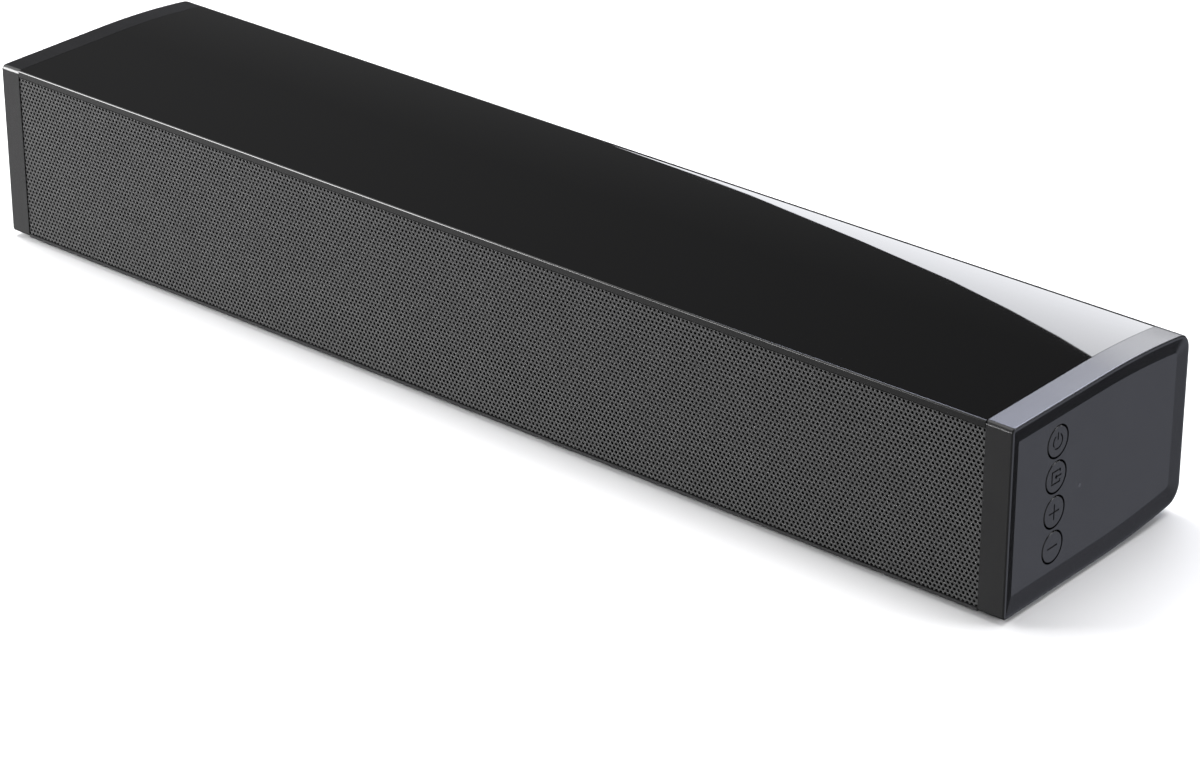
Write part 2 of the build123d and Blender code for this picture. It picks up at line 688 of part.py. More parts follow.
with BuildPart() as main_board:
    with BuildSketch(Plane.XY.offset(BOARD_TOP - BOARD_THICKNESS)):
        with Locations((0, (BOARD_FRONT + BOARD_REAR) / 2)):
            RectangleRounded(BOARD_WIDTH, BOARD_REAR - BOARD_FRONT, radius=2)
        with Locations(*BOARD_POSTS):
            Circle(SCREW_RADIUS + 0.15, mode=Mode.SUBTRACT)
    extrude(amount=BOARD_THICKNESS)
finish(main_board, "main_board")

with BuildPart() as dc_jack:
    with Locations((DC_X, BOARD_REAR, BOARD_TOP)):
        Box(9, 13, 11, align=(Align.CENTER, Align.MAX, Align.MIN))
    with BuildSketch(facing(BOARD_REAR)):
        with Locations((DC_X, SOCKET_Z - MID_Z)):
            Circle(4.2)
    extrude(amount=-(BAY_FLOOR_Y - BOARD_REAR + 0.6))
    with BuildSketch(facing(BAY_FLOOR_Y + 0.6)):
        with Locations((DC_X, SOCKET_Z - MID_Z)):
            Circle(3.2)
            Circle(1.0, mode=Mode.SUBTRACT)
    extrude(amount=9.5, mode=Mode.SUBTRACT)
finish(dc_jack, "dc_jack")

with BuildPart() as aux_jack:
    with Locations((AUX_X, BOARD_REAR, BOARD_TOP)):
        Box(7, 12.5, 6.8, align=(Align.CENTER, Align.MAX, Align.MIN))
    with BuildSketch(facing(BOARD_REAR)):
        with Locations((AUX_X, AUX_Z - MID_Z)):
            Circle(2.95)
    extrude(amount=-(BAY_FLOOR_Y - BOARD_REAR + 0.6))
    with BuildSketch(facing(BAY_FLOOR_Y + 0.6)):
        with Locations((AUX_X, AUX_Z - MID_Z)):
            Circle(AUX_BORE_RADIUS)
    extrude(amount=AUX_BORE_LENGTH, mode=Mode.SUBTRACT)
finish(aux_jack, "aux_jack")

with BuildPart() as usb_socket:
    with BuildSketch(facing(BAY_FLOOR_Y + 0.3)):
        with Locations((USB_X, USB_Z - MID_Z)):
            RectangleRounded(8.94, 3.26, radius=1.6)
    extrude(amount=7.4)
    with BuildSketch(facing(BAY_FLOOR_Y + 0.3)):
        with Locations((USB_X, USB_Z - MID_Z)):
            RectangleRounded(8.34, 2.66, radius=1.3)
            RectangleRounded(6.7, 0.7, radius=0.3, mode=Mode.SUBTRACT)
    extrude(amount=6.4, mode=Mode.SUBTRACT)
finish(usb_socket, "usb_socket")

OPTICAL_HOUSING = 14.0
CAVITY_WIDTH = 9.6
CAVITY_HEIGHT = 9.4
CAVITY_REAR = BAY_FLOOR_Y + 0.6
CAVITY_DEPTH = 10.2
SHUTTER_PIN_Y = BAY_FLOOR_Y - 0.3
SHUTTER_PIN_Z = SOCKET_Z + 4.0
SHUTTER_PIN_RADIUS = 0.5
SHUTTER_THICKNESS = 0.8

with BuildPart() as optical_socket:
    with Locations((OPTICAL_X, BOARD_REAR, BOARD_TOP)):
        Box(OPTICAL_HOUSING, 12, 11, align=(Align.CENTER, Align.MAX, Align.MIN))
    with BuildSketch(facing(BOARD_REAR)):
        with Locations((OPTICAL_X, SOCKET_Z - MID_Z)):
            RectangleRounded(12.0, 10.4, radius=0.5)
    extrude(amount=-(CAVITY_REAR - BOARD_REAR))
    with BuildSketch(facing(CAVITY_REAR)):
        with Locations((OPTICAL_X, SOCKET_Z - MID_Z)):
            Rectangle(CAVITY_WIDTH, CAVITY_HEIGHT)
    extrude(amount=CAVITY_DEPTH, mode=Mode.SUBTRACT)
    with Locations(Location((OPTICAL_X, SHUTTER_PIN_Y, SHUTTER_PIN_Z), (0, 90, 0))):
        Cylinder(SHUTTER_PIN_RADIUS + 0.05, CAVITY_WIDTH + 1.2, mode=Mode.SUBTRACT)
finish(optical_socket, "optical_socket")

with BuildPart() as optical_shutter:
    with Locations((OPTICAL_X, SHUTTER_PIN_Y, SHUTTER_PIN_Z)):
        Box(
            CAVITY_WIDTH - 0.4,
            SHUTTER_THICKNESS,
            8.5,
            align=(Align.CENTER, Align.CENTER, Align.MAX),
        )
    with Locations(Location((OPTICAL_X, SHUTTER_PIN_Y, SHUTTER_PIN_Z), (0, 90, 0))):
        Cylinder(SHUTTER_PIN_RADIUS, CAVITY_WIDTH + 1.0)
finish(optical_shutter, "optical_shutter")

CHIP_HEIGHT = 1.2
CHIP_PLACES = {"amplifier": (-16.0, -4.0), "decoder": (14.0, 2.0)}
FIN_COUNT = 8

with BuildPart() as board_chips:
    for x, y in CHIP_PLACES.values():
        with Locations((x, y, BOARD_TOP)):
            Box(9, 9, CHIP_HEIGHT, align=(Align.CENTER, Align.CENTER, Align.MIN))
finish(board_chips, "board_chips")

with BuildPart() as amplifier_heatsink:
    heatsink_x, heatsink_y = CHIP_PLACES["amplifier"]
    with Locations((heatsink_x, heatsink_y, BOARD_TOP + CHIP_HEIGHT)):
        Box(32, 24, 2.5, align=(Align.CENTER, Align.CENTER, Align.MIN))
    with Locations((heatsink_x, heatsink_y, BOARD_TOP + CHIP_HEIGHT + 2.5)):
        with GridLocations(30.8 / (FIN_COUNT - 1), 0, FIN_COUNT, 1):
            Box(1.2, 24, 11, align=(Align.CENTER, Align.CENTER, Align.MIN))
finish(amplifier_heatsink, "amplifier_heatsink")

with BuildPart() as capacitors:
    with BuildSketch(Plane.XY.offset(BOARD_TOP)):
        with Locations((-44, 6), (-44, -5), (32, -10), (43, -10)):
            Circle(4.5)
    extrude(amount=13)
    fillet(capacitors.edges().group_by(Axis.Z)[-1], radius=0.6)
finish(capacitors, "capacitors")

with BuildPart() as wireless_module:
    with Locations((34, 5, BOARD_TOP)):
        Box(20, 14, 0.8, align=(Align.CENTER, Align.CENTER, Align.MIN))
    with Locations((32, 5, BOARD_TOP + 0.8)):
        Box(14, 12, 2.0, align=(Align.CENTER, Align.CENTER, Align.MIN))
finish(wireless_module, "wireless_module")

SENSOR_BOARD_Y = BAFFLE_Y + BAFFLE_THICKNESS + 2.0

with BuildPart() as sensor_board:
    with Locations((SENSOR_X, SENSOR_BOARD_Y, MID_Z)):
        Box(16, 1.2, 14, align=(Align.CENTER, Align.MIN, Align.CENTER))
finish(sensor_board, "sensor_board")

with BuildPart() as infrared_receiver:
    with Locations((SENSOR_X, SENSOR_BOARD_Y, MID_Z)):
        Box(6, 3.4, 7, align=(Align.CENTER, Align.MAX, Align.CENTER))
    with Locations((SENSOR_X, SENSOR_BOARD_Y - 3.4, MID_Z + 0.5)):
        Sphere(2.2)
finish(infrared_receiver, "infrared_receiver")

# ----------------------------------------------------------------------- leads

LEAD_RADIUS = 1.0


def lead(points, radius):
    """A round lead along a route whose corners are all bent to one radius."""
    with BuildPart() as piece:
        with BuildLine():
            route = FilletPolyline(*points, radius=radius)
        with BuildSketch(Plane(route @ 0, z_dir=route % 0)):
            Circle(LEAD_RADIUS)
        sweep()
    return piece.part


with BuildPart() as speaker_leads:
    for side in (-1, 1):
        add(
            lead(
                [
                    (side * 103, DRIVER_Y + 12, MID_Z),
                    (side * 92, DRIVER_Y + 12, MID_Z),
                    (side * 78, -2, MID_Z - 4),
                    (side * 62, -8, 26),
                    (side * 50, -8, 20),
                    (side * 50, -8, BOARD_TOP),
                ],
                3,
            )
        )
finish(speaker_leads, "speaker_leads")

with BuildPart() as key_lead:
    add(
        lead(
            [
                (KEY_BOARD_X - BOARD_THICKNESS, KEY_Y + 12, MID_Z - 14),
                (176, KEY_Y + 12, MID_Z - 14),
                (150, 12, 12),
                (100, 12, 12),
                (66, 8, 24),
                (54, 6, 20),
                (54, 6, BOARD_TOP),
            ],
            3.5,
        )
    )
finish(key_lead, "key_lead")

# ---------------------------------------------------------------------- screws


def screw(head_radius, head_height, length, countersunk=False):
    """A screw whose head's top is at the origin and whose shank points down -Z."""
    with BuildPart() as piece:
        if countersunk:
            Cone(SCREW_RADIUS, head_radius, head_height, align=(Align.CENTER, Align.CENTER, Align.MAX))
        else:
            Cylinder(head_radius, head_height, align=(Align.CENTER, Align.CENTER, Align.MAX))
        with Locations((0, 0, -head_height)):
            Cylinder(SCREW_RADIUS, length, align=(Align.CENTER, Align.CENTER, Align.MAX))
        with Locations((0, 0, 0)):
            Box(head_radius * 1.1, 0.6, 1.6, mode=Mode.SUBTRACT)
            Box(0.6, head_radius * 1.1, 1.6, mode=Mode.SUBTRACT)
    return piece.part


rear_screw = screw(2.5, 1.25, 7.5, countersunk=True)
with BuildPart() as rear_screws:
    with Locations(back):
        with GridLocations(REAR_SCREW_PITCH_X, 2 * REAR_SCREW_Z, 4, 2):
            add(rear_screw)
finish(rear_screws, "rear_screws")

case_screw = screw(2.8, 2.0, 16)
with BuildPart() as case_screws:
    for x, y in CASE_POSTS:
        with Locations(Location((x, y, CASE_SCREW_HEAD_Z - 2.0), (180, 0, 0))):
            add(case_screw)
finish(case_screws, "case_screws")

board_screw = screw(2.5, 1.6, 7)
with BuildPart() as board_screws:
    for x, y in BOARD_POSTS:
        with Locations((x, y, BOARD_TOP + 1.6)):
            add(board_screw)
finish(board_screws, "board_screws")

driver_screw = screw(2.3, 1.4, 4)
with BuildPart() as driver_screws:
    for x in (-DRIVER_X, DRIVER_X):
        with Locations(Plane((x, DRIVER_Y - 1.4, MID_Z), x_dir=(1, 0, 0), z_dir=(0, -1, 0))):
            with GridLocations(2 * DRIVER_SCREW_OFFSET, 2 * DRIVER_SCREW_OFFSET, 2, 2):
                add(driver_screw)
finish(driver_screws, "driver_screws")
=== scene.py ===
"""Dresses a desktop soundbar's frame: perforated grille, gloss cover, moulded caps, the inside.

Lengths are in metres, in the frame's own axes: X along the bar, the front faces -Y and Z is up.
"""

import math

import bmesh
import bpy
from bpy.props import FloatProperty, FloatVectorProperty, IntProperty, PointerProperty
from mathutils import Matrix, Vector


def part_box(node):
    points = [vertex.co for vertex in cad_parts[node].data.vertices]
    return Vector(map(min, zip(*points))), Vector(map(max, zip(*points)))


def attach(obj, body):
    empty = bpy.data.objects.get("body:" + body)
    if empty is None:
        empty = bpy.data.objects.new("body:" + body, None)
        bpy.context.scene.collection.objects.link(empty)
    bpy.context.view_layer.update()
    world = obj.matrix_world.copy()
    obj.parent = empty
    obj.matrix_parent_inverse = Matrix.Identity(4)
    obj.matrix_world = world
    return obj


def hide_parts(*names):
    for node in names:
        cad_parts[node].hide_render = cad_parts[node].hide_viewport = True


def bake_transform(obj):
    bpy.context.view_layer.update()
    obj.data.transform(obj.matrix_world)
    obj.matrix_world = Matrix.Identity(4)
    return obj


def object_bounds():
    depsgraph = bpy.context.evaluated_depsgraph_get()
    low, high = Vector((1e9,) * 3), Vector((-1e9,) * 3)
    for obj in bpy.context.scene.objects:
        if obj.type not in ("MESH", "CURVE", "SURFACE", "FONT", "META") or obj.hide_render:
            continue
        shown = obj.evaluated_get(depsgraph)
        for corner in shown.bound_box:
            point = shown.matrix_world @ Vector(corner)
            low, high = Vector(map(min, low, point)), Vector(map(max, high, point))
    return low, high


bl_info = {
    "name": "Desktop soundbar",
    "version": (1, 0, 0),
    "blender": (4, 5, 0),
    "location": "View3D > Sidebar > Soundbar",
    "description": "Builds the visible pieces and finishes of a desktop soundbar",
    "category": "Object",
}

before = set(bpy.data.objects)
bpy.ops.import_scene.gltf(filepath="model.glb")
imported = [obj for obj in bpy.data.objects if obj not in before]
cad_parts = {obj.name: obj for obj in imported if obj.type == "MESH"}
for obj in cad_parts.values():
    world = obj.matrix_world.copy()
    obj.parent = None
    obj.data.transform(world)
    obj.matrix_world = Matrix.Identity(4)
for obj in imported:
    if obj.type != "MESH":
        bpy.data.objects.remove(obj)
CAD_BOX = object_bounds()
MM = 0.001

CASE = "case"
SIDES = ("left", "right")
FOOT_HEIGHT = 1.5 * MM
SEAM = 0.15 * MM

# edges sharper than this stay crisp: the caps' shallow bevels need a smaller angle
SMOOTH_ANGLE = math.radians(28)
CAP_ANGLE = math.radians(10.5)
HOLE_ANGLE = math.radians(50)

# how far through a noise a change of finish starts and ends
CLOUDS = (0.3, 0.7)

# plastic finishes: least and most roughness, and the depth of the grain
SATIN = ((0.25, 0.27), 0.0015 * MM)
TEXTURED = ((0.42, 0.5), 0.012 * MM)

# tints of the mirrored studio's lights, and the depth at which its panels stand
COOL = (0.76, 0.8, 1.0)
PALE_COOL = (0.83, 0.86, 1.0)
PANEL_BACK = 1.5


# ------------------------------------------------------------------ sizes and colours


def length(name, description, default, **options):
    """A size in metres."""
    return FloatProperty(
        name=name, description=description, default=default, unit="LENGTH", precision=5, **options
    )


def colour(name, description, default):
    """A linear colour."""
    return FloatVectorProperty(
        name=name, description=description, default=default, subtype="COLOR", min=0, max=1
    )


class GrilleSettings(bpy.types.PropertyGroup):
    """The perforated sheet in front of the drivers."""

    pitch: length("Hole pitch", "Distance between holes in a row", 1.5 * MM)
    hole: length("Hole diameter", "Width of one hole", 0.98 * MM)
    hole_sides: IntProperty(name="Hole sides", description="Sides of one hole", default=10, min=6)
    sheet: length("Sheet thickness", "Thickness of the steel", 0.8 * MM)
    last_row: length("Lowest row", "Lowest row's height above the case's bottom", 1.6 * MM)
    rows: IntProperty(name="Rows", description="Rows of holes", default=43, min=1)
    segments: IntProperty(name="Segments", description="Pieces that the sheet is made in", default=5)
    flange: length("Flange", "Depth of the folded edges", 4.0 * MM)
    paint: colour("Paint", "Colour of the painted sheet", (0.045, 0.045, 0.0455))


class CoverSettings(bpy.types.PropertyGroup):
    """The gloss cover that makes the top and the upper rear corner."""

    wall: length("Wall", "Thickness of the moulding", 2.2 * MM)
    edge: length("Front edge radius", "Rounding of the front edge", 0.5 * MM)
    flat: length("Flat depth", "Depth of the flat part of the top", 45 * MM)
    crown: length("Crown radius", "Radius of the fall towards the rear", 300 * MM)
    crown_angle: FloatProperty(
        name="Crown angle",
        description="Slope at the rear of the crown",
        default=math.radians(7.1),
        subtype="ANGLE",
    )
    gloss: colour("Gloss", "Colour of the gloss cover", (0.0019, 0.0019, 0.0021))


class PlasticSettings(bpy.types.PropertyGroup):
    """The satin mouldings: end caps, rear cover, chassis and keys."""

    satin: colour("Satin", "Colour of the end caps and the keys", (0.005, 0.005, 0.0055))
    textured: colour("Textured", "Colour of the rear cover and chassis", (0.009, 0.009, 0.0095))
    grain: length("Grain", "Size of the moulded grain", 0.35 * MM)


class StageSettings(bpy.types.PropertyGroup):
    """The camera, the lights and the floor."""

    lens: FloatProperty(name="Lens", description="Focal length in millimetres", default=121.61)
    azimuth: FloatProperty(
        name="Azimuth",
        description="Camera's turn round the bar",
        default=math.radians(40.28),
        subtype="ANGLE",
    )
    elevation: FloatProperty(
        name="Elevation",
        description="Camera's height as an angle",
        default=math.radians(26.68),
        subtype="ANGLE",
    )
    place: FloatVectorProperty(
        name="Camera place",
        description="Where the camera stands",
        default=(0.7393, -0.8512, 0.5598),
        subtype="XYZ",
    )
    floor: colour("Floor", "Colour of the floor", (0.86, 0.86, 0.87))


SETTINGS = {
    "grille": GrilleSettings,
    "cover": CoverSettings,
    "plastic": PlasticSettings,
    "stage": StageSettings,
}


def settings(name):
    """One group of the scene's soundbar settings."""
    return getattr(bpy.context.scene, f"soundbar_{name}")


# ------------------------------------------------------------------ node helpers


def give(tree, socket, value):
    """Gives an input a value, or joins another node's output to it."""
    if isinstance(value, bpy.types.NodeSocket):
        tree.links.new(value, socket)
    else:
        socket.default_value = value


def set_range(node, start, end, low, high):
    """Sets what a Map Range node reads and gives, and returns its result."""
    ends = (("From Min", start), ("From Max", end), ("To Min", low), ("To Max", high))
    for name, value in ends:
        node.inputs[name].default_value = value
    return node.outputs["Result"]


class Material:
    """A principled material whose nodes are added by name and joined by socket."""

    def __init__(self, name, **inputs):
        self.material = bpy.data.materials.new(name)
        self.material.use_nodes = True
        self.tree = self.material.node_tree
        self.shader = self.tree.nodes["Principled BSDF"]
        self.coordinates = self.tree.nodes.new("ShaderNodeTexCoord").outputs["Object"]
        self.set(**inputs)

    def set(self, **inputs):
        """Sets values on the shader's own sockets: base_color becomes Base Color."""
        for key, value in inputs.items():
            socket = self.shader.inputs[SHADER_SOCKETS[key]]
            plain_colour = socket.type == "RGBA" and len(value) == 3
            socket.default_value = (*value, 1) if plain_colour else value

    def node(self, kind, **values):
        """Adds a node and sets its inputs, by socket name, or its own properties."""
        made = self.tree.nodes.new(kind)
        for key, value in values.items():
            if hasattr(made, key):
                setattr(made, key, value)
            else:
                give(self.tree, made.inputs[key], value)
        return made

    def link(self, output, name):
        """Joins a node's output to one of the shader's sockets."""
        self.tree.links.new(output, self.shader.inputs[SHADER_SOCKETS[name]])

    def noise(self, size, detail=2.0, roughness=0.5):
        """Noise whose features are about size metres wide."""
        made = self.node("ShaderNodeTexNoise", Vector=self.coordinates)
        made.inputs["Scale"].default_value = 1 / size
        made.inputs["Detail"].default_value = detail
        made.inputs["Roughness"].default_value = roughness
        return made.outputs["Fac"]

    def ramp(self, factor, stops):
        """A colour ramp through (place, colour) stops."""
        made = self.node("ShaderNodeValToRGB")
        self.tree.links.new(factor, made.inputs["Fac"])
        elements = made.color_ramp.elements
        while len(elements) < len(stops):
            elements.new(0.5)
        for element, (place, value) in zip(elements, stops):
            element.position = place
            element.color = (*value, 1)
        return made.outputs["Color"]

    def remap(self, factor, low, high, start=0.0, end=1.0):
        """Maps start..end to low..high."""
        made = self.node("ShaderNodeMapRange")
        self.tree.links.new(factor, made.inputs["Value"])
        return set_range(made, start, end, low, high)

    def shade(self, factor, base, dark, light, stops=CLOUDS):
        """Varies the colour between two tints of the base."""
        places = zip(stops, (tint(base, dark), tint(base, light)))
        self.link(self.ramp(factor, list(places)), "base_color")

    def roughen(self, factor, low, high, stops=CLOUDS):
        """Varies the roughness from low to high."""
        self.link(self.remap(factor, low, high, *stops), "roughness")

    def maths(self, operation, first, second=0.0):
        """One Math node."""
        made = self.node("ShaderNodeMath")
        made.operation = operation
        for socket, value in zip(made.inputs, (first, second)):
            give(self.tree, socket, value)
        return made.outputs["Value"]

    def bump(self, height, distance, strength=1.0, under=None):
        """Adds a bump to the shader's normal, over an earlier bump if one is given."""
        made = self.node("ShaderNodeBump")
        made.inputs["Distance"].default_value = distance
        made.inputs["Strength"].default_value = strength
        self.tree.links.new(height, made.inputs["Height"])
        if under is not None:
            self.tree.links.new(under, made.inputs["Normal"])
        self.link(made.outputs["Normal"], "normal")
        return made.outputs["Normal"]

    def axes(self):
        """The separate X, Y and Z of the object's own coordinates."""
        return self.node("ShaderNodeSeparateXYZ", Vector=self.coordinates).outputs


SHADER_SOCKETS = {
    "base_color": "Base Color",
    "roughness": "Roughness",
    "metallic": "Metallic",
    "ior": "IOR",
    "specular": "Specular IOR Level",
    "coat": "Coat Weight",
    "coat_roughness": "Coat Roughness",
    "sheen": "Sheen Weight",
    "emission_color": "Emission Color",
    "emission_strength": "Emission Strength",
    "normal": "Normal",
}


def tint(value, share):
    """A colour made lighter or darker by a share."""
    return tuple(min(1.0, channel * share) for channel in value)


# ------------------------------------------------------------------ materials


def gloss_plastic():
    """Piano-black gloss, with a faint ripple from the mould and a little dust."""
    made = Material("gloss_black", base_color=settings("cover").gloss, specular=0.5, ior=1.5)
    made.roughen(made.noise(38 * MM, 3.0), 0.012, 0.03, (0.35, 0.7))
    made.bump(made.noise(22 * MM, 1.0), 0.006 * MM, 0.4)
    return made.material


def satin_plastic(name, base, grain, roughness=SATIN[0], depth=SATIN[1]):
    """Moulded plastic with a fine grain and slightly uneven sheen."""
    made = Material(name, base_color=base, ior=1.5)
    clouds = made.noise(9 * MM, 3.0)
    made.shade(clouds, base, 0.93, 1.07)
    made.roughen(clouds, *roughness)
    made.bump(made.noise(grain, 2.0, 0.6), depth)
    return made.material


def key_plastic(panel_x):
    """The caps' satin plastic, with painted shade darkening its engraved signs."""
    base = settings("plastic").satin
    made = Material("key_satin", base_color=base, ior=1.5)
    across = made.axes()["X"]
    # painted shade: faces 0.05 mm to 0.14 mm below the key's top, in the engraved signs, darken to 12
    # % of the satin
    engraved = made.remap(across, 0.0, 1.0, panel_x - 0.14 * MM, panel_x - 0.05 * MM)
    made.shade(engraved, base, 0.12, 1.0, (0.0, 1.0))
    made.roughen(made.noise(9 * MM, 3.0), *SATIN[0])
    made.bump(made.noise(settings("plastic").grain, 2.0, 0.6), SATIN[1])
    return made.material


def painted_steel():
    """Satin powder coat with its fine orange peel."""
    base = settings("grille").paint
    made = Material("grille_paint", base_color=base, ior=1.5)
    made.shade(made.noise(14 * MM, 2.0), base, 0.95, 1.05)
    made.roughen(made.noise(1.1 * MM, 2.0), 0.34, 0.44)
    made.bump(made.noise(0.28 * MM, 2.0), 0.006 * MM)
    return made.material


def black_zinc():
    """Dark plated steel of the screws."""
    made = Material("black_zinc", base_color=(0.03, 0.03, 0.032), metallic=0.85)
    made.roughen(made.noise(0.6 * MM, 3.0), 0.28, 0.46)
    made.bump(made.noise(0.2 * MM, 2.0), 0.004 * MM)
    return made.material


def bright_metal(name, base, roughness=(0.2, 0.36), stretch=(1.0, 1.0, 30.0)):
    """Plain metal with fine drawn lines."""
    made = Material(name, base_color=base, metallic=1.0)
    lines = made.node("ShaderNodeMapping", Vector=made.coordinates)
    lines.inputs["Scale"].default_value = stretch
    drawn = made.node("ShaderNodeTexNoise", Vector=lines.outputs["Vector"])
    drawn.inputs["Scale"].default_value = 150
    made.roughen(drawn.outputs["Fac"], *roughness)
    made.bump(drawn.outputs["Fac"], 0.004 * MM)
    return made.material


def soft_rubber(name="foot_rubber", base=(0.018, 0.018, 0.018), roughness=(0.6, 0.75)):
    """Matt rubber with fine pores."""
    made = Material(name, base_color=base)
    made.roughen(made.noise(2 * MM, 3.0), *roughness)
    made.bump(made.noise(0.3 * MM, 3.0), 0.02 * MM)
    return made.material


def woven(name, base, thread, sheen=0.3):
    """A plain weave of threads across X and Z, with painted shade in its dips and painted highlight on
    its crests.
    """
    made = Material(name, base_color=base, roughness=0.85, sheen=sheen)
    axes = made.axes()
    turns = 2 * math.pi / (2 * thread)
    warp = made.maths("SINE", made.maths("MULTIPLY", axes["X"], turns))
    weft = made.maths("SINE", made.maths("MULTIPLY", axes["Z"], turns))
    over = made.remap(made.maths("MULTIPLY", warp, weft), 0.0, 1.0, -1.0, 1.0)
    # painted shade and highlight: where the weave is low the colour drops to half, where it is high it
    # rises by 30 %
    made.shade(over, base, 0.5, 1.3, (0.2, 0.8))
    made.bump(over, 0.1 * thread)
    return made.material


def pressed_paper():
    """The cones' black paper pulp."""
    base = (0.02, 0.02, 0.022)
    made = Material("cone_paper", base_color=base, roughness=0.8)
    fibres = made.noise(0.8 * MM, 6.0, 0.7)
    made.shade(fibres, base, 0.7, 1.6, (0.35, 0.65))
    made.bump(fibres, 0.05 * MM)
    return made.material


def circuit_board():
    """Green solder mask over copper tracks."""
    made = Material("solder_mask", coat=0.5, coat_roughness=0.15, roughness=0.4)
    tracks = made.node("ShaderNodeTexBrick", Vector=made.coordinates)
    tracks.inputs["Scale"].default_value = 260
    tracks.inputs["Mortar Size"].default_value = 0.03
    tracks.inputs["Color1"].default_value = (0.004, 0.032, 0.016, 1)
    tracks.inputs["Color2"].default_value = (0.005, 0.042, 0.02, 1)
    tracks.inputs["Mortar"].default_value = (0.02, 0.11, 0.05, 1)
    made.link(tracks.outputs["Color"], "base_color")
    made.bump(tracks.outputs["Fac"], 0.03 * MM, 0.6)
    return made.material


def wound_copper():
    """Enamelled wire wound round the coil."""
    base = (0.42, 0.16, 0.06)
    made = Material("coil_copper", base_color=base, metallic=0.9, coat=0.4)
    turns = made.maths("SINE", made.maths("MULTIPLY", made.axes()["Y"], 2 * math.pi / (0.25 * MM)))
    made.roughen(turns, 0.25, 0.45, (-1.0, 1.0))
    made.bump(turns, 0.03 * MM)
    return made.material


def ceramic_magnet():
    """Ground ferrite, dark and faintly speckled."""
    base = (0.035, 0.035, 0.04)
    made = Material("ferrite", base_color=base, metallic=0.2)
    specks = made.noise(0.5 * MM, 5.0, 0.7)
    made.shade(specks, base, 0.7, 1.4, (0.35, 0.7))
    made.roughen(specks, 0.45, 0.65)
    made.bump(specks, 0.02 * MM)
    return made.material


def light_guide():
    """Smoked plastic of the status light."""
    made = Material("light_guide", base_color=(0.01, 0.011, 0.013), ior=1.49, coat=0.5)
    made.roughen(made.noise(0.4 * MM, 2.0), 0.25, 0.45)
    return made.material


def dark_lens():
    """Infrared-clear plastic that looks almost black."""
    made = Material("dark_lens", base_color=(0.012, 0.004, 0.006), coat=0.6)
    made.roughen(made.noise(1.5 * MM, 2.0), 0.08, 0.2)
    return made.material


# ------------------------------------------------------------------ mesh helpers


def add_object(name, mesh):
    """Links a mesh to the scene as a new object."""
    made = bpy.data.objects.new(name, mesh)
    bpy.context.scene.collection.objects.link(made)
    return made


def from_bmesh(name, shape, material):
    """Turns a bmesh into an object of one material, with its faces pointing out."""
    bmesh.ops.recalc_face_normals(shape, faces=shape.faces)
    mesh = bpy.data.meshes.new(name)
    shape.to_mesh(mesh)
    shape.free()
    mesh.materials.append(material)
    mesh.shade_smooth()
    mesh.set_sharp_from_angle(angle=SMOOTH_ANGLE)
    return add_object(name, mesh)


def extruded(name, outline, start, end, material):
    """A closed solid of a (y, z) outline drawn from x = start to x = end."""
    shape = bmesh.new()
    rings = [[shape.verts.new((x, y, z)) for y, z in outline] for x in (start, end)]
    count = len(outline)
    for i in range(count):
        j = (i + 1) % count
        shape.faces.new((rings[0][i], rings[0][j], rings[1][j], rings[1][i]))
    ends = [shape.faces.new(rings[0][::-1]), shape.faces.new(rings[1])]
    bmesh.ops.triangulate(shape, faces=ends)
    return from_bmesh(name, shape, material)


def arc(centre, radius, start, end, steps):
    """Points of an arc in (y, z), with angles in radians from +Y towards +Z."""
    angles = [start + (end - start) * i / steps for i in range(steps + 1)]
    return [(centre[0] + radius * math.cos(a), centre[1] + radius * math.sin(a)) for a in angles]


def turned(name, outline, centre, material, steps=72):
    """A closed ring of a (radius, depth) outline turned about the driver's axis."""
    shape = bmesh.new()
    rings = []
    for i in range(steps):
        a = 2 * math.pi * i / steps
        rings.append(
            [
                shape.verts.new(centre + Vector((r * math.cos(a), depth, r * math.sin(a))))
                for r, depth in outline
            ]
        )
    count = len(outline)
    for i in range(steps):
        here, after = rings[i], rings[(i + 1) % steps]
        for j in range(count):
            k = (j + 1) % count
            shape.faces.new((here[j], here[k], after[k], after[j]))
    return from_bmesh(name, shape, material)


def smoothing_tree():
    """Geometry nodes that weld a solid's loose triangles and round off its shading."""
    tree = bpy.data.node_groups.new("Round shading", "GeometryNodeTree")
    tree.interface.new_socket("Geometry", in_out="INPUT", socket_type="NodeSocketGeometry")
    tree.interface.new_socket("Geometry", in_out="OUTPUT", socket_type="NodeSocketGeometry")
    angle = tree.interface.new_socket("Angle", in_out="INPUT", socket_type="NodeSocketFloat")
    angle.default_value = SMOOTH_ANGLE
    add = tree.nodes.new
    start, end = add("NodeGroupInput"), add("NodeGroupOutput")
    weld = add("GeometryNodeMergeByDistance")
    weld.inputs["Distance"].default_value = 0.002 * MM
    faces = add("GeometryNodeSetShadeSmooth")
    edges = add("GeometryNodeSetShadeSmooth")
    edges.domain = "EDGE"
    edges.inputs["Shade Smooth"].default_value = False
    bend = add("GeometryNodeInputMeshEdgeAngle")
    sharp = add("FunctionNodeCompare")
    sharp.operation = "GREATER_THAN"
    for output, socket in (
        (start.outputs["Geometry"], weld.inputs["Geometry"]),
        (weld.outputs["Geometry"], faces.inputs["Geometry"]),
        (faces.outputs["Geometry"], edges.inputs["Geometry"]),
        (bend.outputs["Unsigned Angle"], sharp.inputs[0]),
        (start.outputs["Angle"], sharp.inputs[1]),
        (sharp.outputs[0], edges.inputs["Selection"]),
        (edges.outputs["Geometry"], end.inputs["Geometry"]),
    ):
        tree.links.new(output, socket)
    return tree


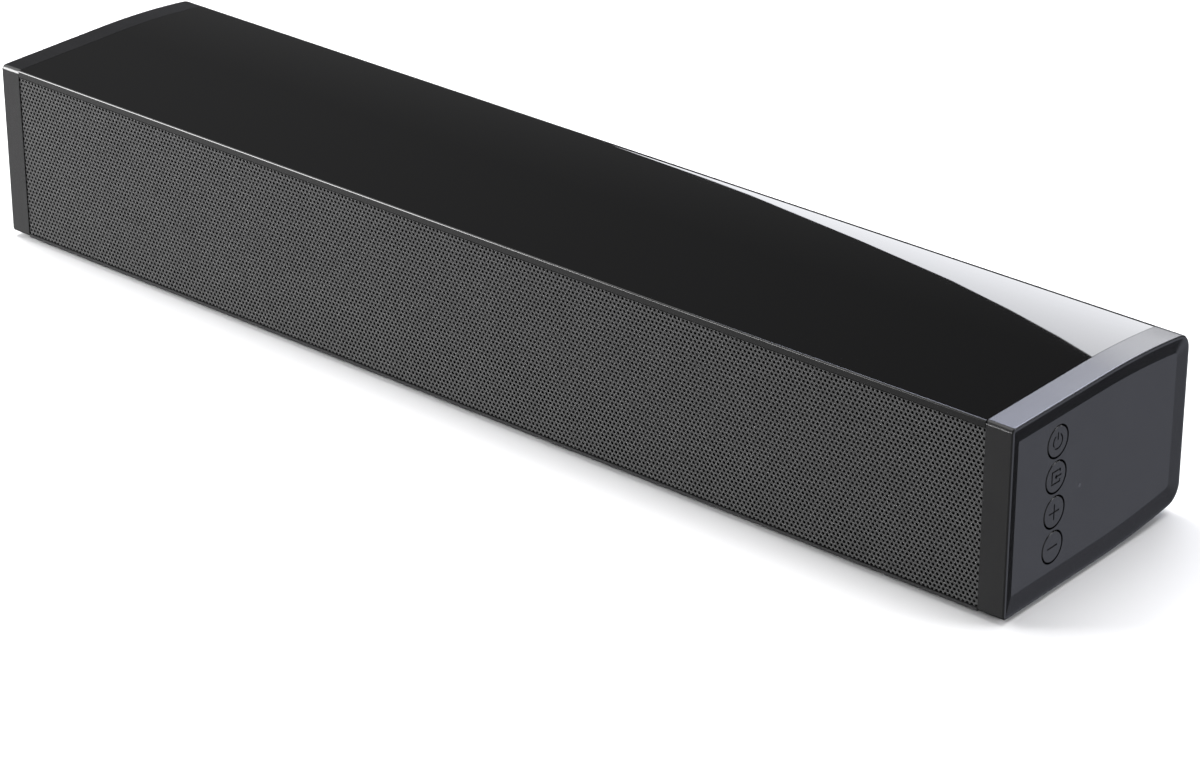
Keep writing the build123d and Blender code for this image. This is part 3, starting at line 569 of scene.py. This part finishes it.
def dress(names, material, angle=SMOOTH_ANGLE):
    """Gives CAD nodes a material and even shading, with edges sharp past an angle."""
    tree = bpy.data.node_groups.get("Round shading") or smoothing_tree()
    limit = next(item for item in tree.interface.items_tree if item.name == "Angle")
    for name in names:
        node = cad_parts[name]
        node.data.materials.clear()
        node.data.materials.append(material)
        rounded = node.modifiers.new("Round shading", "NODES")
        rounded.node_group = tree
        rounded[limit.identifier] = angle
        even = node.modifiers.new("Even shading", "WEIGHTED_NORMAL")
        even.keep_sharp = True
        even.weight = 80


def stand_for(piece, nodes, body=CASE):
    """Puts a finished piece on its body, in place of CAD nodes."""
    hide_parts(*nodes)
    if body is not None:
        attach(piece, body)


def nodes_ending(*endings):
    """Names of the CAD nodes with these endings."""
    return [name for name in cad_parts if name.endswith(endings)]


# ------------------------------------------------------------------ grille


def perforation_tree():
    """Geometry nodes that lay a perforated sheet of staggered holes, front face towards -Y."""
    tree = bpy.data.node_groups.new("Perforated sheet", "GeometryNodeTree")
    for name, kind in (
        ("Pitch", "NodeSocketFloat"),
        ("Row Spacing", "NodeSocketFloat"),
        ("Hole Diameter", "NodeSocketFloat"),
        ("Hole Sides", "NodeSocketInt"),
        ("Thickness", "NodeSocketFloat"),
        ("Columns", "NodeSocketInt"),
        ("Rows", "NodeSocketInt"),
        ("Centre", "NodeSocketVector"),
        ("Material", "NodeSocketMaterial"),
    ):
        tree.interface.new_socket(name, in_out="INPUT", socket_type=kind)
    tree.interface.new_socket("Geometry", in_out="OUTPUT", socket_type="NodeSocketGeometry")
    start, end = tree.nodes.new("NodeGroupInput"), tree.nodes.new("NodeGroupOutput")
    given = start.outputs

    def node(kind, **values):
        """Adds a node, linking its inputs by socket name or index."""
        made = tree.nodes.new(kind)
        for key, value in values.pop("properties", {}).items():
            setattr(made, key, value)
        for key, value in values.items():
            by_index = key[0] == "i" and key[1:].isdigit()
            give(tree, made.inputs[int(key[1:]) if by_index else key], value)
        return made

    def maths(operation, first, second=0.0):
        """One Math node's result."""
        made = node("ShaderNodeMath", properties={"operation": operation}, i0=first, i1=second)
        return made.outputs[0]

    def vector(x, y, z):
        """Three numbers as a vector."""
        return node("ShaderNodeCombineXYZ", X=x, Y=y, Z=z).outputs[0]

    # one cell: a rectangle with a round hole, filled and given its thickness
    border = node(
        "GeometryNodeCurvePrimitiveQuadrilateral",
        Width=given["Pitch"],
        Height=given["Row Spacing"],
    )
    border = node("GeometryNodeSubdivideCurve", Curve=border.outputs[0], Cuts=1)
    hole = node(
        "GeometryNodeCurvePrimitiveCircle",
        Resolution=given["Hole Sides"],
        Radius=maths("MULTIPLY", given["Hole Diameter"], 0.5),
    )
    both = node("GeometryNodeJoinGeometry")
    tree.links.new(border.outputs[0], both.inputs[0])
    tree.links.new(hole.outputs[0], both.inputs[0])
    face = node("GeometryNodeFillCurve", Curve=both.outputs[0]).outputs[0]
    depth = vector(0.0, 0.0, maths("MULTIPLY", given["Thickness"], -1.0))
    walls = node("GeometryNodeExtrudeMesh", Mesh=face, Offset=depth, Individual=False)
    walls = node("GeometryNodeFlipFaces", Mesh=walls.outputs["Mesh"])
    spot = node("GeometryNodeInputPosition").outputs[0]
    place = node("ShaderNodeSeparateXYZ", Vector=spot).outputs

    almost_half = 0.4995

    def at_border(axis, size):
        """Whether a wall stands on the cell's own border."""
        border_at = maths("MULTIPLY", given[size], almost_half)
        return maths("GREATER_THAN", maths("ABSOLUTE", place[axis]), border_at)

    beside, above = at_border("X", "Pitch"), at_border("Y", "Row Spacing")
    open_walls = node(
        "GeometryNodeDeleteGeometry",
        properties={"domain": "FACE"},
        Geometry=walls.outputs[0],
        Selection=maths("MAXIMUM", beside, above),
    )
    cell = node("GeometryNodeJoinGeometry")
    tree.links.new(face, cell.inputs[0])
    tree.links.new(open_walls.outputs[0], cell.inputs[0])

    # the staggered grid that the cells stand on
    columns_less, rows_less = (maths("SUBTRACT", given[name], 1.0) for name in ("Columns", "Rows"))
    grid = node(
        "GeometryNodeMeshGrid",
        **{
            "Size X": maths("MULTIPLY", columns_less, given["Pitch"]),
            "Size Y": maths("MULTIPLY", rows_less, given["Row Spacing"]),
            "Vertices X": given["Columns"],
            "Vertices Y": given["Rows"],
        },
    )
    row = maths("MODULO", node("GeometryNodeInputIndex").outputs[0], given["Rows"])
    shift = maths("MULTIPLY", maths("MODULO", row, 2.0), maths("MULTIPLY", given["Pitch"], 0.5))
    aside = vector(shift, 0.0, 0.0)
    staggered = node("GeometryNodeSetPosition", Geometry=grid.outputs[0], Offset=aside).outputs[0]
    laid = node("GeometryNodeInstanceOnPoints", Points=staggered, Instance=cell.outputs[0])
    joined = node("GeometryNodeRealizeInstances", Geometry=laid.outputs[0])
    welded = node("GeometryNodeMergeByDistance", Geometry=joined.outputs[0], Distance=0.01 * MM)
    upright = node(
        "GeometryNodeTransform",
        Geometry=welded.outputs[0],
        Translation=given["Centre"],
        Rotation=(math.pi / 2, 0, 0),
    )
    painted = node(
        "GeometryNodeSetMaterial", Geometry=upright.outputs[0], Material=given["Material"]
    )
    tree.links.new(painted.outputs[0], end.inputs[0])
    return tree


def generated_mesh(name, tree, inputs):
    """Runs a geometry node tree with named inputs and keeps the result as a plain object."""
    holder = add_object(name, bpy.data.meshes.new(name))
    modifier = holder.modifiers.new(name, "NODES")
    modifier.node_group = tree
    for item in tree.interface.items_tree:
        if item.in_out == "INPUT" and item.name in inputs:
            modifier[item.identifier] = inputs[item.name]
    bpy.context.view_layer.update()
    evaluated = holder.evaluated_get(bpy.context.evaluated_depsgraph_get())
    mesh = bpy.data.meshes.new_from_object(evaluated)
    holder.modifiers.clear()
    blank = holder.data
    holder.data = mesh
    bpy.data.meshes.remove(blank)
    return holder


def trimmed(piece, low, high):
    """Cuts a sheet square at two corners of a box and closes the cut edges."""
    shape = bmesh.new()
    shape.from_mesh(piece.data)
    for axis in (0, 2):
        for limit, side in ((low, -1), (high, 1)):
            normal, spot = Vector((0, 0, 0)), Vector((0, 0, 0))
            normal[axis], spot[axis] = side, limit[axis]
            cut = bmesh.ops.bisect_plane(
                shape,
                geom=shape.verts[:] + shape.edges[:] + shape.faces[:],
                dist=0.001 * MM,
                plane_co=spot,
                plane_no=normal,
                clear_outer=True,
            )
            edges = [e for e in cut["geom_cut"] if isinstance(e, bmesh.types.BMEdge)]
            bmesh.ops.holes_fill(shape, edges=[e for e in edges if e.is_boundary], sides=0)
    bmesh.ops.triangulate(shape, faces=[f for f in shape.faces if len(f.verts) > 3])
    shape.to_mesh(piece.data)
    shape.free()
    piece.data.shade_smooth()
    piece.data.set_sharp_from_angle(angle=HOLE_ANGLE)


class SOUNDBAR_OT_grille(bpy.types.Operator):
    """Perforated steel sheet with its folded edges"""

    bl_idname = "soundbar.grille"
    bl_label = "Grille"

    def execute(self, context):
        """Lays the holes in segments, trims them to the sheet and folds its edges."""
        size = settings("grille")
        paint = painted_steel()
        low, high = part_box("front_grille")
        bottom = CAD_BOX[0].z + FOOT_HEIGHT
        row_spacing = size.pitch * math.sqrt(3) / 2
        band_low = bottom + size.last_row
        top_row = band_low + (size.rows - 1) * row_spacing
        columns = math.ceil((high.x - low.x) / size.pitch / size.segments) + 1
        step = (columns - 1) * size.pitch
        tree = perforation_tree()
        for i in range(size.segments):
            start = low.x + i * step
            stop = min(start + step, high.x)
            middle = Vector((start + step / 2, low.y, (band_low + top_row) / 2))
            segment = generated_mesh(
                f"grille_sheet_{i + 1}",
                tree,
                {
                    "Pitch": size.pitch,
                    "Row Spacing": row_spacing,
                    "Hole Diameter": size.hole,
                    "Hole Sides": size.hole_sides,
                    "Thickness": size.sheet,
                    "Columns": columns + 2,
                    "Rows": size.rows,
                    "Centre": middle,
                    "Material": paint,
                },
            )
            trimmed(segment, Vector((start, 0, low.z)), Vector((stop, 0, high.z)))
            stand_for(segment, ["front_grille"])
        self.fold(low, high, size, paint)
        return {"FINISHED"}

    def fold(self, low, high, size, paint):
        """The four folded edges behind the sheet."""
        behind = low.y + size.sheet
        back = behind + size.flange
        inner_low, inner_high = low.z + size.sheet, high.z - size.sheet
        head = [(behind, inner_high), (back, inner_high), (back, high.z), (behind, high.z)]
        foot = [(behind, low.z), (back, low.z), (back, inner_low), (behind, inner_low)]
        side = [(behind, inner_low), (back, inner_low), (back, inner_high), (behind, inner_high)]
        for name, outline, start, stop in (
            ("grille_top_fold", head, low.x, high.x),
            ("grille_bottom_fold", foot, low.x, high.x),
            ("grille_left_fold", side, low.x, low.x + size.sheet),
            ("grille_right_fold", side, high.x - size.sheet, high.x),
        ):
            piece = extruded(name, outline, start, stop, paint)
            stand_for(piece, ["front_grille"])


class SOUNDBAR_OT_cloth(bpy.types.Operator):
    """Black acoustic cloth stretched behind the grille"""

    bl_idname = "soundbar.cloth"
    bl_label = "Acoustic cloth"

    def execute(self, context):
        """Draws the cloth as a thin sheet with the slight pull of its glued edges."""
        low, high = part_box("grille_cloth")
        width, height = high.x - low.x, high.z - low.z
        thickness = (high.y - low.y) * 0.6
        columns, rows = 160, 24
        shape = bmesh.new()
        lattice = []
        for i in range(columns + 1):
            line = []
            for j in range(rows + 1):
                u, v = i / columns, j / rows
                pull = 0.25 * (high.y - low.y) * math.sin(math.pi * v) ** 0.5 * math.sin(23 * u)
                depth = low.y + thickness * 0.6 + 0.3 * abs(pull)
                line.append(shape.verts.new((low.x + u * width, depth, low.z + v * height)))
            lattice.append(line)
        for i in range(columns):
            for j in range(rows):
                first, second = lattice[i], lattice[i + 1]
                shape.faces.new((first[j], second[j], second[j + 1], first[j + 1]))
        weave = woven("acoustic_cloth", (0.002, 0.002, 0.002), 0.25 * MM, 0.02)
        cloth = from_bmesh("acoustic_cloth", shape, weave)
        body = cloth.modifiers.new("Thickness", "SOLIDIFY")
        body.thickness = thickness
        body.offset = 0
        stand_for(cloth, ["grille_cloth"])
        return {"FINISHED"}


# ------------------------------------------------------------------ case


def cover_outline(low, high, size):
    """The cover's (y, z) section: flat, crown, rear corner and inner wall."""
    front, rear, top = low.y, high.y, high.z
    turn = math.sin(size.crown_angle)
    corner = (rear - front - size.flat - size.crown * turn) / (1 - turn)
    flat_end = front + size.flat
    support = 0.25 * MM
    crown_centre = (flat_end, top - size.crown)
    lean = math.pi / 2 - size.crown_angle
    crown = arc(crown_centre, size.crown, math.pi / 2, lean, 24)
    corner_centre = (
        crown[-1][0] - corner * math.cos(lean),
        crown[-1][1] - corner * math.sin(lean),
    )
    outer = [(front, top - size.wall)]
    outer += arc((front + size.edge, top - size.edge), size.edge, math.pi, math.pi / 2, 10)
    outer += [(front + size.edge + support, top), (flat_end - support, top)]
    outer += crown + arc(corner_centre, corner, lean, 0, 20)[1:]
    outer.append((rear, low.z))
    inner_corner = corner - size.wall
    inner = [(rear - size.wall, low.z)]
    inner += arc(corner_centre, inner_corner, 0, lean, 10)
    inner += arc(crown_centre, size.crown - size.wall, lean, math.pi / 2, 8)[1:]
    return outer + inner


class SOUNDBAR_OT_cover(bpy.types.Operator):
    """Gloss top cover"""

    bl_idname = "soundbar.cover"
    bl_label = "Top cover"

    def execute(self, context):
        """Draws the cover's section along the bar with a smooth crown."""
        size = settings("cover")
        low, high = Vector(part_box("top_cover")[0]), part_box("top_cover")[1]
        low.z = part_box("rear_cover")[1].z + SEAM
        cover = extruded("gloss_cover", cover_outline(low, high, size), low.x, high.x, gloss_plastic())
        even = cover.modifiers.new("Even shading", "WEIGHTED_NORMAL")
        even.keep_sharp = True
        stand_for(cover, ["top_cover"])
        return {"FINISHED"}


class SOUNDBAR_OT_case(bpy.types.Operator):
    """End caps, rear cover, chassis and baffle"""

    bl_idname = "soundbar.case"
    bl_label = "Case"

    def execute(self, context):
        """Gives the mouldings their satin and textured finishes."""
        size = settings("plastic")
        satin = satin_plastic("cap_satin", size.satin, size.grain)
        dress(["left_end_cap", "right_end_cap"], satin, CAP_ANGLE)
        textured = satin_plastic("textured_plastic", size.textured, size.grain, *TEXTURED)
        dress(["rear_cover", "bottom_chassis"], textured)
        matt = satin_plastic("baffle_plastic", (0.012, 0.012, 0.012), size.grain, (0.6, 0.7))
        dress(["front_baffle"], matt)
        return {"FINISHED"}


class SOUNDBAR_OT_keys(bpy.types.Operator):
    """Keys, plungers, switches and the status light"""

    bl_idname = "soundbar.keys"
    bl_label = "Keys"

    def execute(self, context):
        """Finishes the keys with painted shade in their engraved signs, and what they press."""
        panel_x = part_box("power_key")[1].x
        dress(nodes_ending("_key"), key_plastic(panel_x))
        dress(nodes_ending("_plunger"), satin_plastic("plunger_plastic", (0.03, 0.03, 0.03), 0.3 * MM))
        dress(["switch_bodies"], satin_plastic("switch_plastic", (0.02, 0.02, 0.02), 0.3 * MM))
        dress(["status_light_pipe"], light_guide())
        return {"FINISHED"}


# ------------------------------------------------------------------ drivers


class SOUNDBAR_OT_drivers(bpy.types.Operator):
    """The two drivers, with their surrounds and spiders"""

    bl_idname = "soundbar.drivers"
    bl_label = "Drivers"

    def execute(self, context):
        """Finishes each driver and turns its surround and spider."""
        frame_steel = satin_plastic("basket_steel", (0.02, 0.02, 0.02), 0.4 * MM, (0.35, 0.45))
        dress(nodes_ending("_basket", "_top_plate", "_yoke"), frame_steel)
        dress(nodes_ending("_magnet"), ceramic_magnet())
        dress(nodes_ending("_voice_coil"), wound_copper())
        dress(nodes_ending("_cone", "_dust_cap"), pressed_paper())
        rubber = soft_rubber("surround_rubber", (0.01, 0.01, 0.01), (0.4, 0.5))
        cloth = woven("spider_cloth", (0.4, 0.27, 0.1), 0.4 * MM)
        for side in SIDES:
            self.surround(side, rubber)
            self.spider(side, cloth)
        return {"FINISHED"}

    def axis(self, side):
        """The driver's centre on its flange's front face."""
        low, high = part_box(f"{side}_basket")
        return Vector(((low.x + high.x) / 2, low.y, (low.z + high.z) / 2))

    def suspend(self, piece, side, node, slot, still, moving):
        """Hides the suspension's CAD node and bakes the piece's placing into its mesh."""
        stand_for(piece, [node], body=None)
        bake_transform(piece)

    def surround(self, side, material):
        """A half-roll with an inner lip and an outer flange."""
        roll = arc((19.9 * MM, 0), 2.4 * MM, 0, math.pi, 20)
        under = arc((19.9 * MM, 0.4 * MM), 2.0 * MM, math.pi, 0, 20)
        outer = [(r, -y * 0.85) for r, y in roll]
        inner = [(r, -y * 0.8 + 0.1 * MM) for r, y in under]
        lip = [(17.5, 0.75), (16.3, 0.75), (16.3, 1.15), (17.9, 1.15)]
        flange = [(22.3, -0.05), (24.3, -0.05), (24.3, -0.45), (22.5, -0.45)]
        lip, flange = ([(r * MM, y * MM) for r, y in line] for line in (lip, flange))
        outline = flange + outer[1:] + lip + inner[1:-1]
        piece = turned(f"{side}_surround_roll", outline, self.axis(side), material)
        self.suspend(piece, side, f"{side}_surround", "surround_rubber", 0.05 * MM, 0.8 * MM)

    def spider(self, side, material):
        """A shallow corrugated cone."""
        waves, steps, thickness = 4, 48, 0.25 * MM
        front = []
        for i in range(steps + 1):
            share = i / steps
            ripple = 0.35 * MM * math.sin(2 * math.pi * waves * share)
            depth = 7.7 * MM + share * 1.1 * MM + ripple * (1 - share)
            front.append((5.45 * MM + share * 12 * MM, depth))
        rear = [(r, depth + thickness) for r, depth in reversed(front)]
        piece = turned(f"{side}_spider_disc", front + rear, self.axis(side), material)
        self.suspend(piece, side, f"{side}_spider", "spider_cloth", 8.7 * MM, 7.8 * MM)


# ------------------------------------------------------------------ electronics and fasteners


class SOUNDBAR_OT_electronics(bpy.types.Operator):
    """Boards, sockets and leads"""

    bl_idname = "soundbar.electronics"
    bl_label = "Electronics"

    def execute(self, context):
        """Finishes the boards, what stands on them and the sockets."""
        dress(["main_board", "key_board", "sensor_board"], circuit_board())
        moulded = satin_plastic("socket_plastic", (0.01, 0.01, 0.01), 0.3 * MM, (0.3, 0.4))
        dress(["dc_jack", "aux_jack", "optical_socket", "board_chips"], moulded)
        dress(["optical_shutter"], satin_plastic("shutter_plastic", (0.03, 0.03, 0.032), 0.3 * MM))
        dress(["usb_socket", "wireless_module"], bright_metal("plated_steel", (0.62, 0.61, 0.58)))
        dress(["amplifier_heatsink"], bright_metal("extruded_aluminium", (0.6, 0.6, 0.62)))
        sleeve = satin_plastic("capacitor_sleeve", (0.01, 0.01, 0.02), 0.5 * MM, (0.15, 0.25))
        dress(["capacitors"], sleeve)
        dress(["infrared_receiver"], dark_lens())
        insulation = soft_rubber("lead_insulation", (0.18, 0.01, 0.01), (0.4, 0.5))
        dress(["speaker_leads", "key_lead"], insulation)
        return {"FINISHED"}


class SOUNDBAR_OT_fasteners(bpy.types.Operator):
    """Screws, inserts and feet"""

    bl_idname = "soundbar.fasteners"
    bl_label = "Fasteners and feet"

    def execute(self, context):
        """Finishes the screws, the brass inserts and the feet."""
        dress(nodes_ending("_screws"), black_zinc())
        dress(["wall_inserts"], bright_metal("turned_brass", (0.62, 0.43, 0.14)))
        dress([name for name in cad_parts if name.startswith("foot_")], soft_rubber())
        return {"FINISHED"}


# ------------------------------------------------------------------ stage


def area_light(name, place, target, width, height, power, tint_of=(1, 1, 1), mirrored=True):
    """A soft rectangular light that looks at a point and that the camera doesn't see."""
    data = bpy.data.lights.new(name, "AREA")
    data.shape = "RECTANGLE"
    data.size, data.size_y = width, height
    data.energy = power
    data.color = tint_of
    lamp = bpy.data.objects.new(name, data)
    lamp.location = place
    lamp.rotation_euler = (Vector(target) - Vector(place)).to_track_quat("-Z", "Y").to_euler()
    lamp.visible_camera = False
    lamp.visible_glossy = mirrored
    bpy.context.scene.collection.objects.link(lamp)
    return lamp


def glowing_panel(name, corners, strength, tint_of):
    """A flat upright panel behind the bar, of (x, z) corners, that shows only in reflections."""
    shape = bmesh.new()
    shape.faces.new([shape.verts.new((x, PANEL_BACK, z)) for x, z in corners])
    mesh = bpy.data.meshes.new(name)
    shape.to_mesh(mesh)
    shape.free()
    material = bpy.data.materials.new(name)
    material.use_nodes = True
    tree = material.node_tree
    tree.nodes.clear()
    glow, out = tree.nodes.new("ShaderNodeEmission"), tree.nodes.new("ShaderNodeOutputMaterial")
    glow.inputs["Strength"].default_value = strength
    glow.inputs["Color"].default_value = (*tint_of, 1)
    tree.links.new(glow.outputs[0], out.inputs["Surface"])
    mesh.materials.append(material)
    panel = add_object(name, mesh)
    panel.visible_camera = False
    panel.visible_diffuse = False
    panel.visible_shadow = False
    return panel


class SOUNDBAR_OT_stage(bpy.types.Operator):
    """Floor, lights and camera"""

    bl_idname = "soundbar.stage"
    bl_label = "Stage"

    def execute(self, context):
        """Sets the pale floor, the soft lights and the camera."""
        self.floor()
        self.lights()
        self.camera()
        self.backdrop()
        context.scene.view_settings.view_transform = "Standard"
        return {"FINISHED"}

    def floor(self):
        """A wide pale sheet under the feet, with painted light: it glows, more strongly away from the
        bar.
        """
        reach = 14.0
        shape = bmesh.new()
        bmesh.ops.create_grid(shape, x_segments=8, y_segments=8, size=reach)
        base = settings("stage").floor
        finish = Material("floor", base_color=base, roughness=0.7)
        finish.shade(finish.noise(0.6, 2.0), base, 0.99, 1.0)
        # painted light: the floor glows white, at strength 0.7 under the bar rising to 3.0 a metre
        # out, which also lightens its shadows
        away = finish.node("ShaderNodeVectorMath", operation="LENGTH")
        finish.tree.links.new(finish.coordinates, away.inputs[0])
        finish.link(finish.remap(away.outputs["Value"], 0.0, 1.0, 0.7, 3.0), "emission_strength")
        finish.set(emission_color=(1, 1, 1))
        floor = from_bmesh("floor", shape, finish.material)
        floor.visible_glossy = False

    def lights(self):
        """A wide overhead light, a front fill, and the panel that the gloss cover mirrors."""
        bar = (0, 0, 0)
        above, beside, near = (0.0, 0.7, 3.2), (-1.25, 0.25, 2.1), (0.1, -1.6, 0.5)
        area_light("overhead", above, bar, width=3.4, height=2.6, power=122, mirrored=False)
        area_light("key", beside, bar, width=0.9, height=0.8, power=37, mirrored=False)
        left_end, right_end = (-0.22, 0, 0.03), (0.2, 0, 0.03)
        area_light("left_fill", (-0.8, -0.62, 0.42), left_end, width=0.5, height=0.4, power=13.0)
        area_light("front_fill", near, bar, width=1.4, height=0.5, power=1.5)
        pale = (0.96, 0.97, 1.0)
        area_light("right_fill", (1.5, 0.9, 0.8), right_end, 0.8, 0.6, power=13.0, tint_of=pale)
        edge = [(-1.118, 0.443), (-0.989, 0.488), (-0.896, 0.558), (-0.825, 0.631)]
        edge += [(-0.785, 0.706), (-0.757, 0.785), (-0.74, 0.86), (-0.725, 0.93)]
        edge += [(-0.72, 1.12), (0.6, 1.12), (0.6, 0.34)]
        glowing_panel("mirror_panel", edge, strength=4.8, tint_of=(0.95, 0.96, 1.0))
        upper = [(-1.2, 1.12), (-1.2, 1.9), (0.6, 1.9), (0.6, 1.12)]
        glowing_panel("high_panel", upper, strength=10.5, tint_of=COOL)

    def camera(self):
        """The camera at the front right, looking down along the bar."""
        size = settings("stage")
        data = bpy.data.cameras.new("camera")
        data.lens = size.lens
        data.sensor_width = 36
        data.clip_start, data.clip_end = 0.05, 60
        camera = bpy.data.objects.new("camera", data)
        camera.location = size.place
        turn, flat = size.azimuth, math.cos(size.elevation)
        across, onward = -math.sin(turn) * flat, math.cos(turn) * flat
        look = Vector((across, onward, -math.sin(size.elevation)))
        camera.rotation_euler = look.to_track_quat("-Z", "Y").to_euler()
        bpy.context.scene.collection.objects.link(camera)
        bpy.context.scene.camera = camera

    def backdrop(self):
        """A white surround to look at, whose mirror image in the bar is a dim studio."""
        world = bpy.data.worlds.new("surround")
        bpy.context.scene.world = world
        world.use_nodes = True
        tree = world.node_tree
        tree.nodes.clear()
        rays = tree.nodes.new("ShaderNodeLightPath").outputs
        seen, ambient, around = (self.background(tree, strength) for strength in (1.0, 0.12, 1.0))
        cool = self.background(tree, 1.0, PALE_COOL)
        mirrored = tree.nodes.new("ShaderNodeAddShader")
        for part, strength in zip((around, cool), self.studio(tree)):
            tree.links.new(strength, part.inputs["Strength"])
        tree.links.new(around.outputs[0], mirrored.inputs[0])
        tree.links.new(cool.outputs[0], mirrored.inputs[1])
        indirect, every = tree.nodes.new("ShaderNodeMixShader"), tree.nodes.new("ShaderNodeMixShader")
        out = tree.nodes.new("ShaderNodeOutputWorld")
        for output, socket in (
            (rays["Is Glossy Ray"], indirect.inputs[0]),
            (ambient.outputs[0], indirect.inputs[1]),
            (mirrored.outputs[0], indirect.inputs[2]),
            (rays["Is Camera Ray"], every.inputs[0]),
            (indirect.outputs[0], every.inputs[1]),
            (seen.outputs[0], every.inputs[2]),
            (every.outputs[0], out.inputs["Surface"]),
        ):
            tree.links.new(output, socket)

    def background(self, tree, strength, tint_of=(1, 1, 1)):
        """One plain background of the surround."""
        made = tree.nodes.new("ShaderNodeBackground")
        made.inputs["Color"].default_value = (*tint_of, 1)
        made.inputs["Strength"].default_value = strength
        return made

    def studio(self, tree):
        """How bright the mirrored studio is each way, and how bright its cool light at the right."""

        def combined(operation, first, *others):
            """All parts added up or multiplied, one after another."""
            for other in others:
                made = tree.nodes.new("ShaderNodeMath")
                made.operation = operation
                tree.links.new(first, made.inputs[0])
                tree.links.new(other, made.inputs[1])
                first = made.outputs[0]
            return first

        def lobe(axis, start, end, low, high):
            """Rises smoothly from low to high as the direction's share along an axis goes up."""
            along = tree.nodes.new("ShaderNodeVectorMath")
            along.operation = "DOT_PRODUCT"
            tree.links.new(direction, along.inputs[0])
            along.inputs[1].default_value = axis
            made = tree.nodes.new("ShaderNodeMapRange")
            made.interpolation_type = "SMOOTHSTEP"
            tree.links.new(along.outputs["Value"], made.inputs["Value"])
            return set_range(made, start, end, low, high)

        direction = tree.nodes.new("ShaderNodeTexCoord").outputs["Generated"]
        left, right, back, up, down = (-1, 0, 0), (1, 0, 0), (0, 1, 0), (0, 0, 1), (0, 0, -1)
        above = combined(
            "MULTIPLY",
            lobe(left, 0.45, 0.75, 0.082, 0.145),
            lobe(down, -0.1, 0.15, 1.0, 0.12),
        )
        front = combined(
            "MULTIPLY",
            lobe(back, -0.4, 0.0, 1.0, 0.0),
            lobe(down, 0.0, 0.3, 0.25, 1.0),
            lobe(left, 0.4, 0.75, 0.35, 1.25),
        )
        strip = combined(
            "MULTIPLY",
            lobe(up, 0.02, 0.07, 0.0, 26.0),
            lobe(up, 0.17, 0.22, 1.0, 0.0),
            lobe(left, 0.48, 0.56, 0.0, 1.0),
            lobe(left, 0.72, 0.8, 1.0, 0.0),
            lobe(back, -0.6, -0.45, 1.0, 0.0),
        )
        ceiling = lobe((-0.57, 0.0, 0.82), 0.86, 0.96, 0.0, 2.2)
        sides = [lobe(axis, 0.84, 0.95, 0.0, 0.6) for axis in (right, left)]
        at_right = combined(
            "MULTIPLY",
            lobe((0.72, 0.62, -0.31), 0.87, 0.95, 0.0, 0.95),
            lobe(down, 0.15, 0.45, 0.35, 1.0),
        )
        return combined("ADD", above, front, strip, ceiling, *sides), at_right


# ------------------------------------------------------------------ add-on


OPERATORS = (
    SOUNDBAR_OT_stage,
    SOUNDBAR_OT_grille,
    SOUNDBAR_OT_cloth,
    SOUNDBAR_OT_cover,
    SOUNDBAR_OT_case,
    SOUNDBAR_OT_keys,
    SOUNDBAR_OT_drivers,
    SOUNDBAR_OT_electronics,
    SOUNDBAR_OT_fasteners,
)


class SOUNDBAR_PT_panel(bpy.types.Panel):
    """The soundbar's settings and the buttons that build it"""

    bl_idname = "SOUNDBAR_PT_panel"
    bl_label = "Soundbar"
    bl_space_type = "VIEW_3D"
    bl_region_type = "UI"
    bl_category = "Soundbar"

    def draw(self, context):
        """Lists each group's settings, then one button per operator."""
        for name, group in SETTINGS.items():
            box = self.layout.box()
            box.label(text=group.__doc__)
            for prop in group.__annotations__:
                box.prop(settings(name), prop)
        for operator in OPERATORS:
            self.layout.operator(operator.bl_idname)


CLASSES = (*SETTINGS.values(), *OPERATORS, SOUNDBAR_PT_panel)


def register():
    """Registers the classes and hangs the settings on the scene."""
    for cls in CLASSES:
        bpy.utils.register_class(cls)
    for name, group in SETTINGS.items():
        setattr(bpy.types.Scene, f"soundbar_{name}", PointerProperty(type=group))


def unregister():
    """Takes the settings and the classes away again."""
    for name in SETTINGS:
        delattr(bpy.types.Scene, f"soundbar_{name}")
    for cls in reversed(CLASSES):
        bpy.utils.unregister_class(cls)


def main():
    """Builds everything in order."""
    register()
    for operator in OPERATORS:
        group, name = operator.bl_idname.split(".")
        getattr(getattr(bpy.ops, group), name)()


if __name__ == "__main__":
    main()
